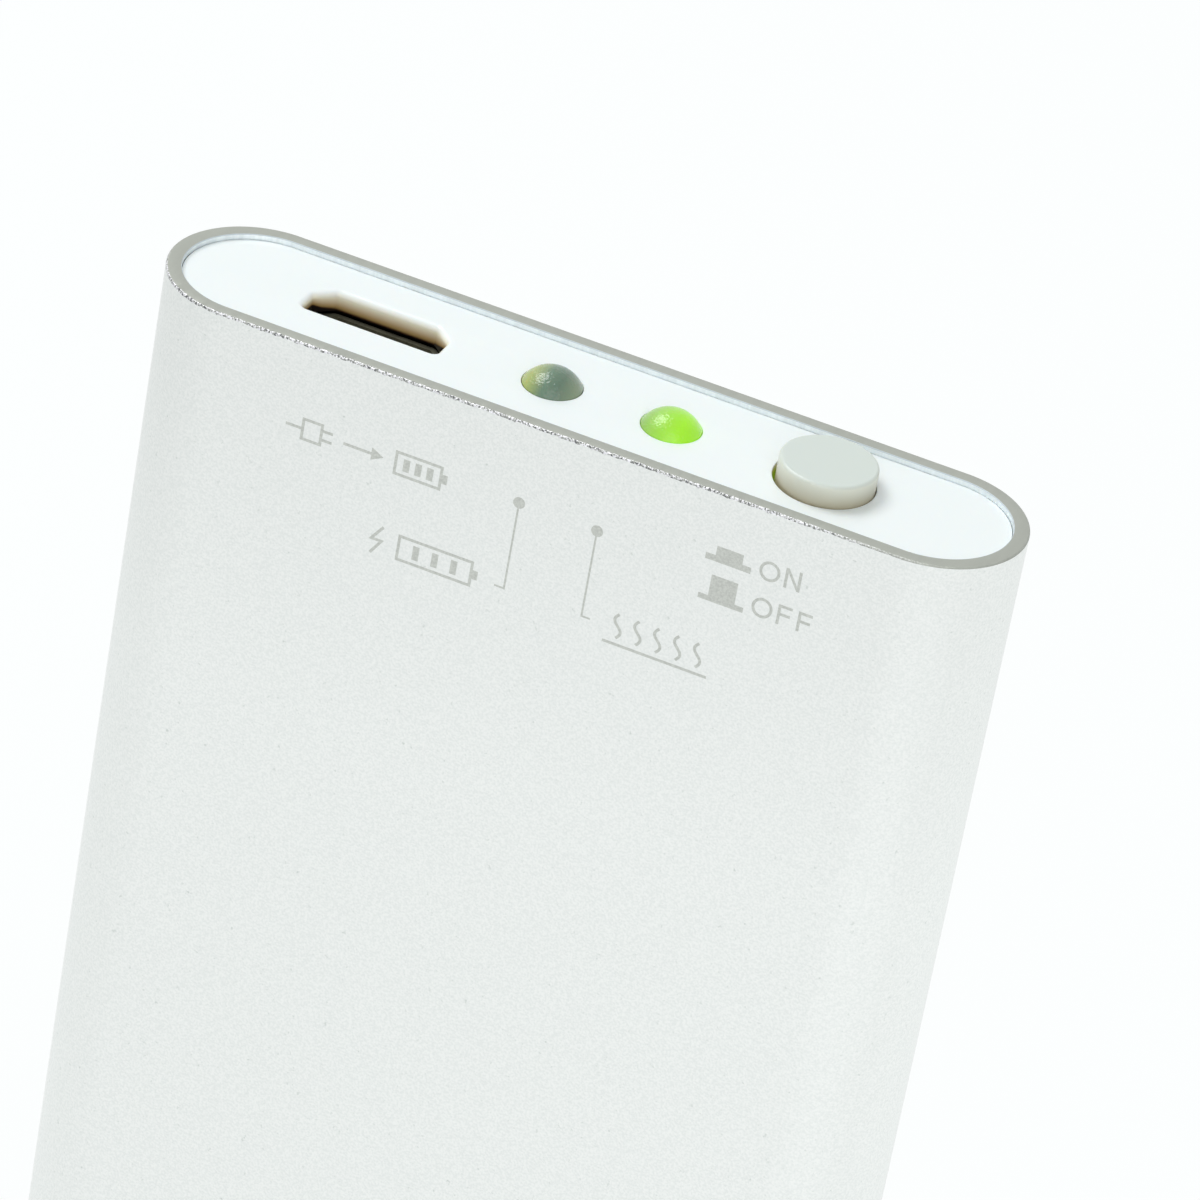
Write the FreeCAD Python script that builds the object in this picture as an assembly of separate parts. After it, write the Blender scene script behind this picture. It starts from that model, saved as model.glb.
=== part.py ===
import FreeCAD, Part
import math
import os

from FreeCAD import Vector

# Rechargeable hand warmer: a flat oval metal tube with a battery and two heater films inside,
# and a moulded end that carries the charging socket, two lamps and a push-push button.
# Millimetres. The origin is the centre of the tube's bottom end, +Z runs up the tube to the
# control end, +X points to the button side, and -Y is the printed front.

# Tube
SHELL_WIDTH = 45.0
SHELL_DEPTH = 9.3
SHELL_LENGTH = 95.0
SIDE_WALL = 0.75
END_WALL = 0.8
RIM_CHAMFER = 0.1

# End caps, set a little below the rims of the tube
CAP_RECESS = 0.3
CAP_CLEARANCE = 0.05
CAP_PLATE = 1.05
CAP_EDGE_CHAMFER = 0.15
SKIRT_WALL = 0.8
SKIRT_LENGTH = 3.7

# Places on the control end from left to right, as shares of half the cap's width
JACK_SHARE = -0.5325
CHARGING_LED_SHARE = -0.0973
WARMING_LED_SHARE = 0.1937
BUTTON_SHARE = 0.567

# Snap arms that hold the caps to the tray
SNAP_WIDTH = 3.0
SNAP_THICK = 0.9
SNAP_REACH = 3.6
SNAP_BARB = 0.4
SNAP_BARB_HEIGHT = 1.2
SNAP_CLEARANCE = 0.1
SNAP_FLEX = 0.5
SNAP_WALL = 0.8

# Tray: two rails, a bottom bar, a divider and a panel in front of the board
TRAY_CLEARANCE = 0.1
RAIL_LINING = 0.7
PANEL_THICK = 0.7
BAR_THICK = 1.2
DIVIDER_THICK = 1.2
WINDOW_MARGIN = 1.0
BOSS_DIAMETER = 3.2
BOSS_INSET = 3.5
BOSS_RISE = 2.2

# Main board
BOARD_THICK = 0.8
BOARD_HEIGHT = 17.5
BOARD_EDGE_GAP = 0.3
BOARD_BACK_ROOM = 0.75
BOARD_SEAT_GAP = 0.4
BOARD_NOTCH_GAP = 0.2

# Board screws
SCREW_DIAMETER = 1.6
SCREW_GRIP = 4.0
SCREW_HEAD_DIAMETER = 3.0
SCREW_HEAD_HEIGHT = 1.0
SCREW_HEAD_CHAMFER = 0.3
SCREW_FIT = 0.02
SCREW_HOLE_GAP = 0.15

# Charging socket
JACK_WIDTH = 7.4
JACK_DEPTH = 2.5
JACK_LENGTH = 5.2
JACK_WALL = 0.3
JACK_CHAMFER = 1.0
JACK_CORNER_ROUND = 0.4
JACK_GAP = 0.22
JACK_OVERHANG = 0.8
PORT_LIP = 0.1
PORT_ROUND = 0.35
FOOT_REACH = 0.8
FOOT_LENGTH = 1.0
FOOT_INSET = 0.5
TONGUE_WIDTH = 3.9
TONGUE_THICK = 0.6
TONGUE_SETBACK = 0.9
TONGUE_OFFSET = 0.3
TONGUE_BLOCK = 1.4
CONTACT_COUNT = 5
CONTACT_PITCH = 0.65
CONTACT_WIDTH = 0.3
CONTACT_THICK = 0.12
CONTACT_TIP_GAP = 0.3
CONTACT_DROP = 0.5
CONTACT_FOOT = 0.8

# Lamps
LED_DIAMETER = 3.0
LED_HEIGHT = 5.17
LED_DOME_HEIGHT = 0.87
LED_FLANGE_RIM = 0.4
LED_FLANGE_HEIGHT = 1.0
LED_PROUD = 0.87
LED_HOLE_GAP = 0.03
LED_BOARD_GAP = 0.4
COLLAR_WALL = 0.65
COLLAR_GAP = 0.1
LEG_PITCH = 2.54
LEG_THICK = 0.5
LEG_DROP = 2.0
LEG_TAIL = 0.4
LEG_HOLE_GAP = 0.15

# Button, drawn latched in, as it stands when the warmer is on, and a little off centre in its hole
BUTTON_DIAMETER = 4.86
BUTTON_PROUD = 1.2
BUTTON_ROUND = 0.16
BUTTON_GAP = 0.11
BUTTON_OFF_CENTRE = 0.08
TRAVEL_OUT = 1.5
TRAVEL_IN = 0.5
EAR_REACH = 0.9
EAR_WIDTH = 2.4
EAR_THICK = 0.7
EAR_GAP = 0.1
SOCKET_DEPTH = 2.4

# Push-push switch
SWITCH_WIDTH = 5.8
SWITCH_ROOM = 0.3
SWITCH_HEIGHT = 8.4
SWITCH_WALL = 0.8
SWITCH_BASE = 1.0
SWITCH_GAP = 0.2
STEM_WIDTH = 2.0
STEM_FIT = 0.05
PLUNGER_HEIGHT = 3.2
PLUNGER_CLEARANCE = 0.1
SPRING_DIAMETER = 2.0
SPRING_WIRE = 0.3
SPRING_TURNS = 3
SPRING_BORE_DEPTH = 1.5
SPRING_BORE_GAP = 0.15
SPRING_SEAT_GAP = 0.02
TERMINALS_A_SIDE = 3
TERMINAL_PITCH = 2.5
TERMINAL_REACH = 1.3
TERMINAL_WIDTH = 0.7
TERMINAL_THICK = 0.25

# Chips and small ceramic parts on the main board, placed by shares of its half width and height
CHIP_STANDOFF = 0.1
CHIP_LEG_THICK = 0.15
CHIP_LEG_WIDTH = 0.4
CHIP_LEG_KNEE = 0.35
CHIP_LEG_FOOT = 0.5
IC_LENGTH = 4.9
IC_WIDTH = 3.9
IC_HEIGHT = 1.4
IC_LEG_PITCH = 1.27
IC_LEGS = 4
TRANSISTOR_LENGTH = 2.9
TRANSISTOR_WIDTH = 1.4
TRANSISTOR_HEIGHT = 1.0
TRANSISTOR_LEG_PITCH = 1.9
CHARGER_SHARES = (-0.60, 0.40)
CONTROLLER_SHARES = (0.0, 0.40)
TRANSISTOR_SHARES = (0.30, 0.40)
CERAMIC_LENGTH = 1.6
CERAMIC_WIDTH = 0.8
CERAMIC_HEIGHT = 0.8
CERAMIC_SHARES = ((-0.36, 0.30), (-0.36, 0.42), (-0.36, 0.54), (0.30, 0.56), (0.05, 0.65), (-0.10, 0.65))

# Battery bay
BATTERY_SIDE_GAP = 0.3
BATTERY_FACE_GAP = 0.3
BATTERY_FOLD_ROUND = 1.2
TERRACE_HEIGHT = 4.0
TERRACE_THICK = 1.0
TERRACE_INSET = 2.0
WIRE_ZONE = 4.0
FOAM_THICK = 1.5

# Protection board on the battery's terrace
GUARD_WIDTH = 19.5
GUARD_HEIGHT = 3.2
GUARD_THICK = 0.8
GUARD_CHIP_LENGTH = 2.9
GUARD_CHIP_WIDTH = 1.8
GUARD_CHIP_HEIGHT = 0.9
GUARD_CHIP_GAP = 0.5
TAB_WIDTH = 2.6
TAB_THICK = 0.15
TAB_RISE = 0.8
TAB_LAP = 1.6

# Heater films and the felt behind them
FILM_THICK = 0.2
FILM_SIDE_MARGIN = 0.8
FILM_END_MARGIN = 0.6
FELT_THICK = 0.4
PAD_INSET = 1.4

# Round battery wires, flat heater leads and thin sensor leads, placed by shares of the board's half width
LEAD_DIAMETER = 0.9
LEAD_GAP = 0.05
LEAD_LAP = 2.5
RED_LEAD_SHARE = -0.606
FRONT_LEAD_SHARE = 0.121
REAR_LEAD_SHARE = 0.386
BATTERY_LEAD_INSET = 2.0
BATTERY_LEAD_SPACING = 2.0
RIBBON_WIDTH = 1.2
RIBBON_THICK = 0.25
SENSOR_DIAMETER = 1.6
SENSOR_LENGTH = 1.4
SENSOR_CHAMFER = 0.4
SENSOR_LEAD_THICK = 0.4
SENSOR_LEAD_SPACING = 0.7

# Cuts run past the faces that they open by this much, and heights closer than this are the same
OVERRUN = 1.0
SAME_LEVEL = 0.0001

# Widths and depths that follow from the sizes above
INNER_WIDTH = SHELL_WIDTH - 2 * END_WALL
INNER_DEPTH = SHELL_DEPTH - 2 * SIDE_WALL
CAP_WIDTH = INNER_WIDTH - 2 * CAP_CLEARANCE
CAP_DEPTH = INNER_DEPTH - 2 * CAP_CLEARANCE
JACK_X = JACK_SHARE * CAP_WIDTH / 2
CHARGING_LED_X = CHARGING_LED_SHARE * CAP_WIDTH / 2
WARMING_LED_X = WARMING_LED_SHARE * CAP_WIDTH / 2
BUTTON_X = BUTTON_SHARE * CAP_WIDTH / 2
SKIRT_INNER_WIDTH = CAP_WIDTH - 2 * SKIRT_WALL
SKIRT_INNER_DEPTH = CAP_DEPTH - 2 * SKIRT_WALL
TRAY_WIDTH = INNER_WIDTH - 2 * TRAY_CLEARANCE
TRAY_DEPTH = INNER_DEPTH - 2 * TRAY_CLEARANCE
SNAP_OUTER_X = TRAY_WIDTH / 2 - SNAP_WALL - SNAP_CLEARANCE
SNAP_INNER_X = SNAP_OUTER_X - SNAP_THICK
RAIL_INNER_X = SNAP_INNER_X - SNAP_FLEX - RAIL_LINING
PANEL_INNER_Y = PANEL_THICK - TRAY_DEPTH / 2
BOARD_BACK_Y = SKIRT_INNER_DEPTH / 2 - BOARD_BACK_ROOM
BOARD_FRONT_Y = BOARD_BACK_Y - BOARD_THICK
BOARD_HALF_WIDTH = RAIL_INNER_X - BOARD_EDGE_GAP
PORT_Y = BOARD_FRONT_Y - JACK_DEPTH / 2
SWITCH_DEPTH = SKIRT_INNER_DEPTH - 2 * SWITCH_ROOM
LED_HOLE_DIAMETER = LED_DIAMETER + 2 * LED_HOLE_GAP
LED_FLANGE_DIAMETER = LED_DIAMETER + 2 * LED_FLANGE_RIM
BUTTON_HOLE_DIAMETER = BUTTON_DIAMETER + 2 * BUTTON_GAP
FILM_WIDTH = INNER_WIDTH - INNER_DEPTH - 2 * FILM_SIDE_MARGIN
FILM_INNER_Y = INNER_DEPTH / 2 - FILM_THICK
FELT_INNER_Y = FILM_INNER_Y - FELT_THICK
BATTERY_WIDTH = 2 * (RAIL_INNER_X - BATTERY_SIDE_GAP)
BATTERY_DEPTH = 2 * (FELT_INNER_Y - BATTERY_FACE_GAP)
LEAD_Y = BOARD_FRONT_Y - LEAD_DIAMETER / 2 - LEAD_GAP
RIBBON_Y = BOARD_FRONT_Y - RIBBON_THICK / 2 - LEAD_GAP
SENSOR_LEAD_Y = BOARD_FRONT_Y - SENSOR_LEAD_THICK / 2 - LEAD_GAP
GUARD_FRONT_Y = LEAD_Y - LEAD_DIAMETER / 2 - LEAD_GAP
GUARD_BACK_Y = GUARD_FRONT_Y + GUARD_THICK
FRONT_LEAD_X = FRONT_LEAD_SHARE * BOARD_HALF_WIDTH
REAR_LEAD_X = REAR_LEAD_SHARE * BOARD_HALF_WIDTH
RED_LEAD_X = RED_LEAD_SHARE * BOARD_HALF_WIDTH
BLACK_LEAD_X = RED_LEAD_X + BATTERY_LEAD_SPACING
GUARD_X = RED_LEAD_X - BATTERY_LEAD_INSET + GUARD_WIDTH / 2
TAB_X = (FRONT_LEAD_X + REAR_LEAD_X) / 2
BOSS_X = RAIL_INNER_X - BOSS_INSET
STEP_X = JACK_X + JACK_WIDTH / 2 + 2 * FOOT_REACH

# Heights that follow from the sizes above
FACE_Z = SHELL_LENGTH - CAP_RECESS
PLATE_UNDER_Z = FACE_Z - CAP_PLATE
SKIRT_END_Z = PLATE_UNDER_Z - SKIRT_LENGTH
SNAP_TIP_Z = SKIRT_END_Z - SNAP_REACH
SNAP_CATCH_Z = SNAP_TIP_Z + SNAP_BARB_HEIGHT
TRAY_TOP_Z = SKIRT_END_Z - TRAY_CLEARANCE
TRAY_BOTTOM_Z = SHELL_LENGTH - TRAY_TOP_Z
BAY_FLOOR_Z = TRAY_BOTTOM_Z + BAR_THICK
JACK_MOUTH_Z = PLATE_UNDER_Z - JACK_GAP
JACK_REAR_Z = JACK_MOUTH_Z - JACK_LENGTH
BOARD_TOP_Z = JACK_MOUTH_Z - JACK_OVERHANG
BOARD_BOTTOM_Z = BOARD_TOP_Z - BOARD_HEIGHT
BOSS_Z = BOARD_BOTTOM_Z + BOSS_RISE
DIVIDER_TOP_Z = BOARD_BOTTOM_Z - BOARD_SEAT_GAP
DIVIDER_BOTTOM_Z = DIVIDER_TOP_Z - DIVIDER_THICK
BATTERY_TOP_Z = DIVIDER_BOTTOM_Z - WIRE_ZONE
BATTERY_BOTTOM_Z = BAY_FLOOR_Z + FOAM_THICK
GUARD_TOP_Z = BATTERY_TOP_Z - (TERRACE_HEIGHT - GUARD_HEIGHT) / 2
FILM_BOTTOM_Z = BAY_FLOOR_Z + FILM_END_MARGIN
FILM_TOP_Z = DIVIDER_BOTTOM_Z - FILM_END_MARGIN
PAD_Z = FILM_TOP_Z - PAD_INSET
LEAD_END_Z = BOARD_BOTTOM_Z + LEAD_LAP
LED_BASE_Z = FACE_Z + LED_PROUD - LED_HEIGHT
LED_STEP_Z = LED_BASE_Z - LED_BOARD_GAP
LEG_HOLE_Z = LED_BASE_Z - LEG_DROP
BUTTON_TOP_Z = FACE_Z + BUTTON_PROUD
EAR_TOP_Z = PLATE_UNDER_Z - EAR_GAP - TRAVEL_OUT
EAR_BOTTOM_Z = EAR_TOP_Z - EAR_THICK
SOCKET_TOP_Z = EAR_BOTTOM_Z + SOCKET_DEPTH
SWITCH_TOP_Z = EAR_BOTTOM_Z - TRAVEL_IN - SWITCH_GAP
SWITCH_BOTTOM_Z = SWITCH_TOP_Z - SWITCH_HEIGHT
SWITCH_FLOOR_Z = SWITCH_BOTTOM_Z + SWITCH_BASE
SWITCH_ROOF_Z = SWITCH_TOP_Z - SWITCH_WALL
PLUNGER_TOP_Z = SWITCH_ROOF_Z - TRAVEL_OUT - PLUNGER_CLEARANCE
PLUNGER_BOTTOM_Z = PLUNGER_TOP_Z - PLUNGER_HEIGHT
SPRING_TOP_Z = PLUNGER_BOTTOM_Z + SPRING_BORE_DEPTH


# Basic forms

def about(centre, size):
    """The span of a size centred on a place."""
    return (centre - size / 2, centre + size / 2)


def block(x_span, y_span, z_span):
    """A square-edged block between two places on each axis."""
    lengths = [high - low for low, high in (x_span, y_span, z_span)]
    return Part.makeBox(*lengths, Vector(x_span[0], y_span[0], z_span[0]))


def post(x, y, diameter, z_span):
    """A round upright post."""
    low, high = z_span
    return Part.makeCylinder(diameter / 2, high - low, Vector(x, y, low))


def cross_pin(x, z, diameter, y_span):
    """A round pin that runs from front to back."""
    low, high = y_span
    return Part.makeCylinder(diameter / 2, high - low, Vector(x, low, z), Vector(0, 1, 0))


def oval_bar(width, depth, z_span):
    """An upright bar with flat sides and half-round ends."""
    low, high = z_span
    radius = depth / 2
    reach = width / 2 - radius
    tip = width / 2
    edges = [
        Part.LineSegment(Vector(-reach, -radius, low), Vector(reach, -radius, low)),
        Part.Arc(Vector(reach, -radius, low), Vector(tip, 0, low), Vector(reach, radius, low)),
        Part.LineSegment(Vector(reach, radius, low), Vector(-reach, radius, low)),
        Part.Arc(Vector(-reach, radius, low), Vector(-tip, 0, low), Vector(-reach, -radius, low)),
    ]
    outline = Part.Wire([edge.toShape() for edge in edges])
    return Part.Face(outline).extrude(Vector(0, 0, high - low))


def plate(points, push):
    """A flat outline of straight sides, pushed out into a solid."""
    outline = Part.makePolygon(points + points[:1])
    return Part.Face(outline).extrude(push)


def port_bar(offset, z_span):
    """An upright bar with the charging socket's outline, grown on every side by the offset."""
    low, high = z_span
    half_width = JACK_WIDTH / 2 + offset
    half_depth = JACK_DEPTH / 2 + offset
    chamfer = JACK_CHAMFER + (2 - math.sqrt(2)) * offset
    corners = [
        (-half_width, -half_depth),
        (half_width, -half_depth),
        (half_width, half_depth - chamfer),
        (half_width - chamfer, half_depth),
        (chamfer - half_width, half_depth),
        (-half_width, half_depth - chamfer),
    ]
    points = [Vector(JACK_X + x, PORT_Y + y, low) for x, y in corners]
    bar = plate(points, Vector(0, 0, high - low))
    uprights = [edge for edge in bar.Edges if edge.BoundBox.ZLength > (high - low) / 2]
    return bar.makeFillet(JACK_CORNER_ROUND + offset, uprights)


def strip(points, width, thickness):
    """A flat strip folded along a path that stays in an upright front-to-back plane."""
    ways = [(after - before).normalize() for before, after in zip(points, points[1:])]
    normals = [way.cross(Vector(1, 0, 0)) for way in ways]
    outer = []
    inner = []
    for point, before, after in zip(points, normals[:1] + normals, normals + normals[-1:]):
        mitre = (before + after) * (thickness / (2 + 2 * before.dot(after)))
        edge = point - Vector(width / 2, 0, 0)
        outer.append(edge + mitre)
        inner.append(edge - mitre)
    return plate(outer + inner[::-1], Vector(width, 0, 0))


def arc_through(start, control, end):
    """The circular arc that leaves the start and meets the end along lines to one control point."""
    lean = math.cos((control - start).getAngle(end - start))
    middle = (start + control * (2 * lean) + end) * (1 / (2 + 2 * lean))
    return Part.Arc(start, middle, end).toShape()


def coil(x, diameter, thickness, turns, z_span):
    """A coil spring of square wire, whose path is two tangent arcs to each half turn."""
    corner_reach = thickness * math.sqrt(2) / 2
    radius = diameter / 2 - corner_reach
    low = z_span[0] + corner_reach
    rise = (z_span[1] - z_span[0] - 2 * corner_reach) / (2 * turns)
    edges = []
    for half in range(2 * turns):
        side = 1 if half % 2 == 0 else -1
        start = Vector(x + side * radius, 0, low + half * rise)
        end = Vector(x - side * radius, 0, low + (half + 1) * rise)
        start_way = Vector(0, side * radius, rise / math.pi).normalize()
        end_way = Vector(0, -side * radius, rise / math.pi).normalize()
        chord = end - start
        ways = start_way + end_way
        lead = chord.dot(ways)
        spread = 4 - ways.dot(ways)
        reach = (math.sqrt(lead * lead + spread * chord.dot(chord)) - lead) / spread
        first = start + start_way * reach
        second = end - end_way * reach
        joint = (first + second) * 0.5
        edges.append(arc_through(start, first, joint))
        edges.append(arc_through(joint, second, end))
    out = Vector(thickness / 2, 0, 0)
    up = out.cross(Vector(0, radius, rise / math.pi).normalize())
    first_end = Vector(x + radius, 0, low)
    corners = [first_end + offset for offset in (-out - up, out - up, out + up, up - out)]
    section = Part.makePolygon(corners + corners[:1])
    return Part.Wire(edges).makePipeShell([section], True, False)


def edges_at(shape, z):
    """The edges that lie flat at one height."""
    spans = [(edge, edge.BoundBox) for edge in shape.Edges]
    return [edge for edge, box in spans if max(abs(box.ZMin - z), abs(box.ZMax - z)) < SAME_LEVEL]


# Tube and end caps

def shell():
    """The extruded tube, cut square, with its rims broken by a small chamfer."""
    tube = oval_bar(SHELL_WIDTH, SHELL_DEPTH, (0, SHELL_LENGTH))
    tube = tube.cut(oval_bar(INNER_WIDTH, INNER_DEPTH, (-OVERRUN, SHELL_LENGTH + OVERRUN)))
    return tube.makeChamfer(RIM_CHAMFER, edges_at(tube, 0) + edges_at(tube, SHELL_LENGTH))


def snap_arm(side):
    """A spring arm under the cap, with its root in the skirt and a barb that faces outwards."""
    root_x = sorted((side * SNAP_INNER_X, side * (CAP_WIDTH - SKIRT_WALL) / 2))
    root = block(root_x, about(0, SNAP_WIDTH), (SKIRT_END_Z, PLATE_UNDER_Z))
    outer = side * SNAP_OUTER_X
    profile = [
        Vector(side * SNAP_INNER_X, -SNAP_WIDTH / 2, SKIRT_END_Z),
        Vector(side * SNAP_INNER_X, -SNAP_WIDTH / 2, SNAP_TIP_Z),
        Vector(outer, -SNAP_WIDTH / 2, SNAP_TIP_Z),
        Vector(outer + side * SNAP_BARB, -SNAP_WIDTH / 2, SNAP_CATCH_Z),
        Vector(outer, -SNAP_WIDTH / 2, SNAP_CATCH_Z),
        Vector(outer, -SNAP_WIDTH / 2, SKIRT_END_Z),
    ]
    return root.fuse(plate(profile, Vector(0, SNAP_WIDTH, 0)))


def cap_blank():
    """A cap for the control end before its openings are cut: plate, skirt and two snap arms."""
    cap = oval_bar(CAP_WIDTH, CAP_DEPTH, (SKIRT_END_Z, FACE_Z))
    cap = cap.makeChamfer(CAP_EDGE_CHAMFER, edges_at(cap, FACE_Z))
    cap = cap.cut(oval_bar(SKIRT_INNER_WIDTH, SKIRT_INNER_DEPTH, (SKIRT_END_Z - OVERRUN, PLATE_UNDER_Z)))
    return cap.fuse([snap_arm(-1), snap_arm(1)])


def turned_over(shape):
    """The same form at the other end of the tube."""
    return shape.rotated(Vector(0, 0, SHELL_LENGTH / 2), Vector(1, 0, 0), 180)


def round_port(cap):
    """Rounds the edge where the cap's face meets the charging port."""
    low_x, high_x = about(JACK_X, JACK_WIDTH)
    boxes = [(edge, edge.BoundBox) for edge in edges_at(cap, FACE_Z)]
    edges = [edge for edge, box in boxes if box.XMin > low_x and box.XMax < high_x]
    return cap.makeFillet(PORT_ROUND, edges)


def top_cap():
    """The moulded control end, with the charging port, lamp holes in collars and the button hole."""
    collar_span = (LED_BASE_Z + LED_FLANGE_HEIGHT + COLLAR_GAP, PLATE_UNDER_Z)
    collar_diameter = LED_HOLE_DIAMETER + 2 * COLLAR_WALL
    through = (SKIRT_END_Z, FACE_Z + OVERRUN)
    cap = cap_blank()
    cap = cap.fuse([post(x, 0, collar_diameter, collar_span) for x in (CHARGING_LED_X, WARMING_LED_X)])
    openings = [post(x, 0, LED_HOLE_DIAMETER, through) for x in (CHARGING_LED_X, WARMING_LED_X)]
    openings.append(post(BUTTON_X - BUTTON_OFF_CENTRE, 0, BUTTON_HOLE_DIAMETER, through))
    openings.append(port_bar(-PORT_LIP, through))
    return round_port(cap.cut(openings).removeSplitter())


def bottom_cap():
    """The plain cap that closes the other end."""
    return turned_over(cap_blank().removeSplitter())


# Tray

def snap_pocket(side):
    """The slot in a rail that takes a snap arm, and the window that its barb catches in."""
    y_span = about(0, SNAP_WIDTH + 2 * SNAP_CLEARANCE)
    pocket_x = sorted((side * (SNAP_INNER_X - SNAP_FLEX), side * (SNAP_OUTER_X + SNAP_CLEARANCE)))
    pocket = block(pocket_x, y_span, (SNAP_TIP_Z - SNAP_CLEARANCE, TRAY_TOP_Z + OVERRUN))
    window_x = sorted((side * SNAP_OUTER_X, side * (TRAY_WIDTH / 2 + OVERRUN)))
    window = block(window_x, y_span, (SNAP_TIP_Z - SNAP_CLEARANCE, SNAP_CATCH_Z + SNAP_CLEARANCE))
    return pocket.fuse(window)


def tray():
    """The frame inside the tube: it carries the board, boxes in the battery and holds both caps."""
    bay_x = (-RAIL_INNER_X, RAIL_INNER_X)
    past_y = TRAY_DEPTH / 2 + OVERRUN
    frame = oval_bar(TRAY_WIDTH, TRAY_DEPTH, (TRAY_BOTTOM_Z, TRAY_TOP_Z))
    battery_bay = block(bay_x, (-past_y, past_y), (BAY_FLOOR_Z, DIVIDER_BOTTOM_Z))
    board_bay = block(bay_x, (PANEL_INNER_Y, past_y), (DIVIDER_TOP_Z, TRAY_TOP_Z + OVERRUN))
    window_x = (RED_LEAD_X - LEAD_DIAMETER - WINDOW_MARGIN, REAR_LEAD_X + LEAD_DIAMETER + WINDOW_MARGIN)
    window_y = (LEAD_Y - LEAD_DIAMETER - WINDOW_MARGIN / 2, past_y)
    window = block(window_x, window_y, (DIVIDER_BOTTOM_Z - OVERRUN, DIVIDER_TOP_Z + OVERRUN))
    pockets = [snap_pocket(-1), snap_pocket(1)]
    pockets += [turned_over(pocket) for pocket in pockets]
    frame = frame.cut([battery_bay, board_bay, window] + pockets)
    for x in (-BOSS_X, BOSS_X):
        boss = cross_pin(x, BOSS_Z, BOSS_DIAMETER, (PANEL_INNER_Y - PANEL_THICK / 2, BOARD_FRONT_Y))
        pilot_end = BOARD_FRONT_Y - SCREW_GRIP - SCREW_HOLE_GAP
        pilot = cross_pin(x, BOSS_Z, SCREW_DIAMETER + 2 * SCREW_FIT, (pilot_end, BOARD_FRONT_Y))
        frame = frame.fuse(boss).cut(pilot)
    return frame.removeSplitter()


# Main board and its screws

def main_board():
    """The board, stepped down under the lamps and notched round the switch."""
    switch_low, switch_high = about(BUTTON_X, SWITCH_WIDTH + 2 * BOARD_NOTCH_GAP)
    notch_z = SWITCH_BOTTOM_Z - BOARD_NOTCH_GAP
    outline = [
        (-BOARD_HALF_WIDTH, BOARD_BOTTOM_Z),
        (BOARD_HALF_WIDTH, BOARD_BOTTOM_Z),
        (BOARD_HALF_WIDTH, LED_STEP_Z),
        (switch_high, LED_STEP_Z),
        (switch_high, notch_z),
        (switch_low, notch_z),
        (switch_low, LED_STEP_Z),
        (STEP_X, LED_STEP_Z),
        (STEP_X, BOARD_TOP_Z),
        (-BOARD_HALF_WIDTH, BOARD_TOP_Z),
    ]
    board = plate([Vector(x, BOARD_FRONT_Y, z) for x, z in outline], Vector(0, BOARD_THICK, 0))
    past = (BOARD_FRONT_Y - OVERRUN, BOARD_BACK_Y + OVERRUN)
    leg_hole = LEG_THICK + 2 * LEG_HOLE_GAP
    holes = [block(about(x, leg_hole), past, about(LEG_HOLE_Z, leg_hole)) for x in led_leg_places()]
    holes += [cross_pin(x, BOSS_Z, SCREW_DIAMETER + 2 * SCREW_HOLE_GAP, past) for x in (-BOSS_X, BOSS_X)]
    return board.cut(holes)


def board_screws():
    """Two screws through the board into the tray's bosses."""
    screws = []
    for x in (-BOSS_X, BOSS_X):
        head = cross_pin(x, BOSS_Z, SCREW_HEAD_DIAMETER, (BOARD_BACK_Y, BOARD_BACK_Y + SCREW_HEAD_HEIGHT))
        crown = [edge for edge in head.Edges if edge.BoundBox.YMin > BOARD_BACK_Y]
        head = head.makeChamfer(SCREW_HEAD_CHAMFER, crown)
        shank = cross_pin(x, BOSS_Z, SCREW_DIAMETER, (BOARD_FRONT_Y - SCREW_GRIP, BOARD_BACK_Y))
        screws.append(head.fuse(shank))
    return Part.makeCompound(screws)


# Charging socket

def jack_shell():
    """The drawn metal shell of the socket, with two pairs of feet on the board."""
    sleeve = port_bar(0, (JACK_REAR_Z, JACK_MOUTH_Z))
    sleeve = sleeve.cut(port_bar(-JACK_WALL, (JACK_REAR_Z - OVERRUN, JACK_MOUTH_Z + OVERRUN)))
    foot_x = about(JACK_X, JACK_WIDTH + 2 * FOOT_REACH)
    foot_y = (BOARD_FRONT_Y - JACK_WALL, BOARD_FRONT_Y)
    rear_foot = block(foot_x, foot_y, (JACK_REAR_Z + FOOT_INSET, JACK_REAR_Z + FOOT_INSET + FOOT_LENGTH))
    front_end = BOARD_TOP_Z - FOOT_INSET
    front_foot = block(foot_x, foot_y, (front_end - FOOT_LENGTH, front_end))
    return sleeve.fuse([rear_foot, front_foot]).removeSplitter()


def contact_places():
    """Where the socket's contacts stand from side to side."""
    first = JACK_X - CONTACT_PITCH * (CONTACT_COUNT - 1) / 2
    return [first + CONTACT_PITCH * number for number in range(CONTACT_COUNT)]


def jack_contacts():
    """Flat contacts on the tongue, bent back to solder feet on the board."""
    lie_y = PORT_Y - TONGUE_OFFSET + TONGUE_THICK / 2 + CONTACT_THICK / 2
    foot_y = BOARD_FRONT_Y - CONTACT_THICK / 2
    tip_z = JACK_MOUTH_Z - TONGUE_SETBACK - CONTACT_TIP_GAP
    knee_z = JACK_REAR_Z - CONTACT_DROP
    contacts = []
    for x in contact_places():
        points = [
            Vector(x, lie_y, tip_z),
            Vector(x, lie_y, knee_z),
            Vector(x, foot_y, knee_z),
            Vector(x, foot_y, knee_z - CONTACT_FOOT),
        ]
        contacts.append(strip(points, CONTACT_WIDTH, CONTACT_THICK))
    return Part.makeCompound(contacts)


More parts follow.
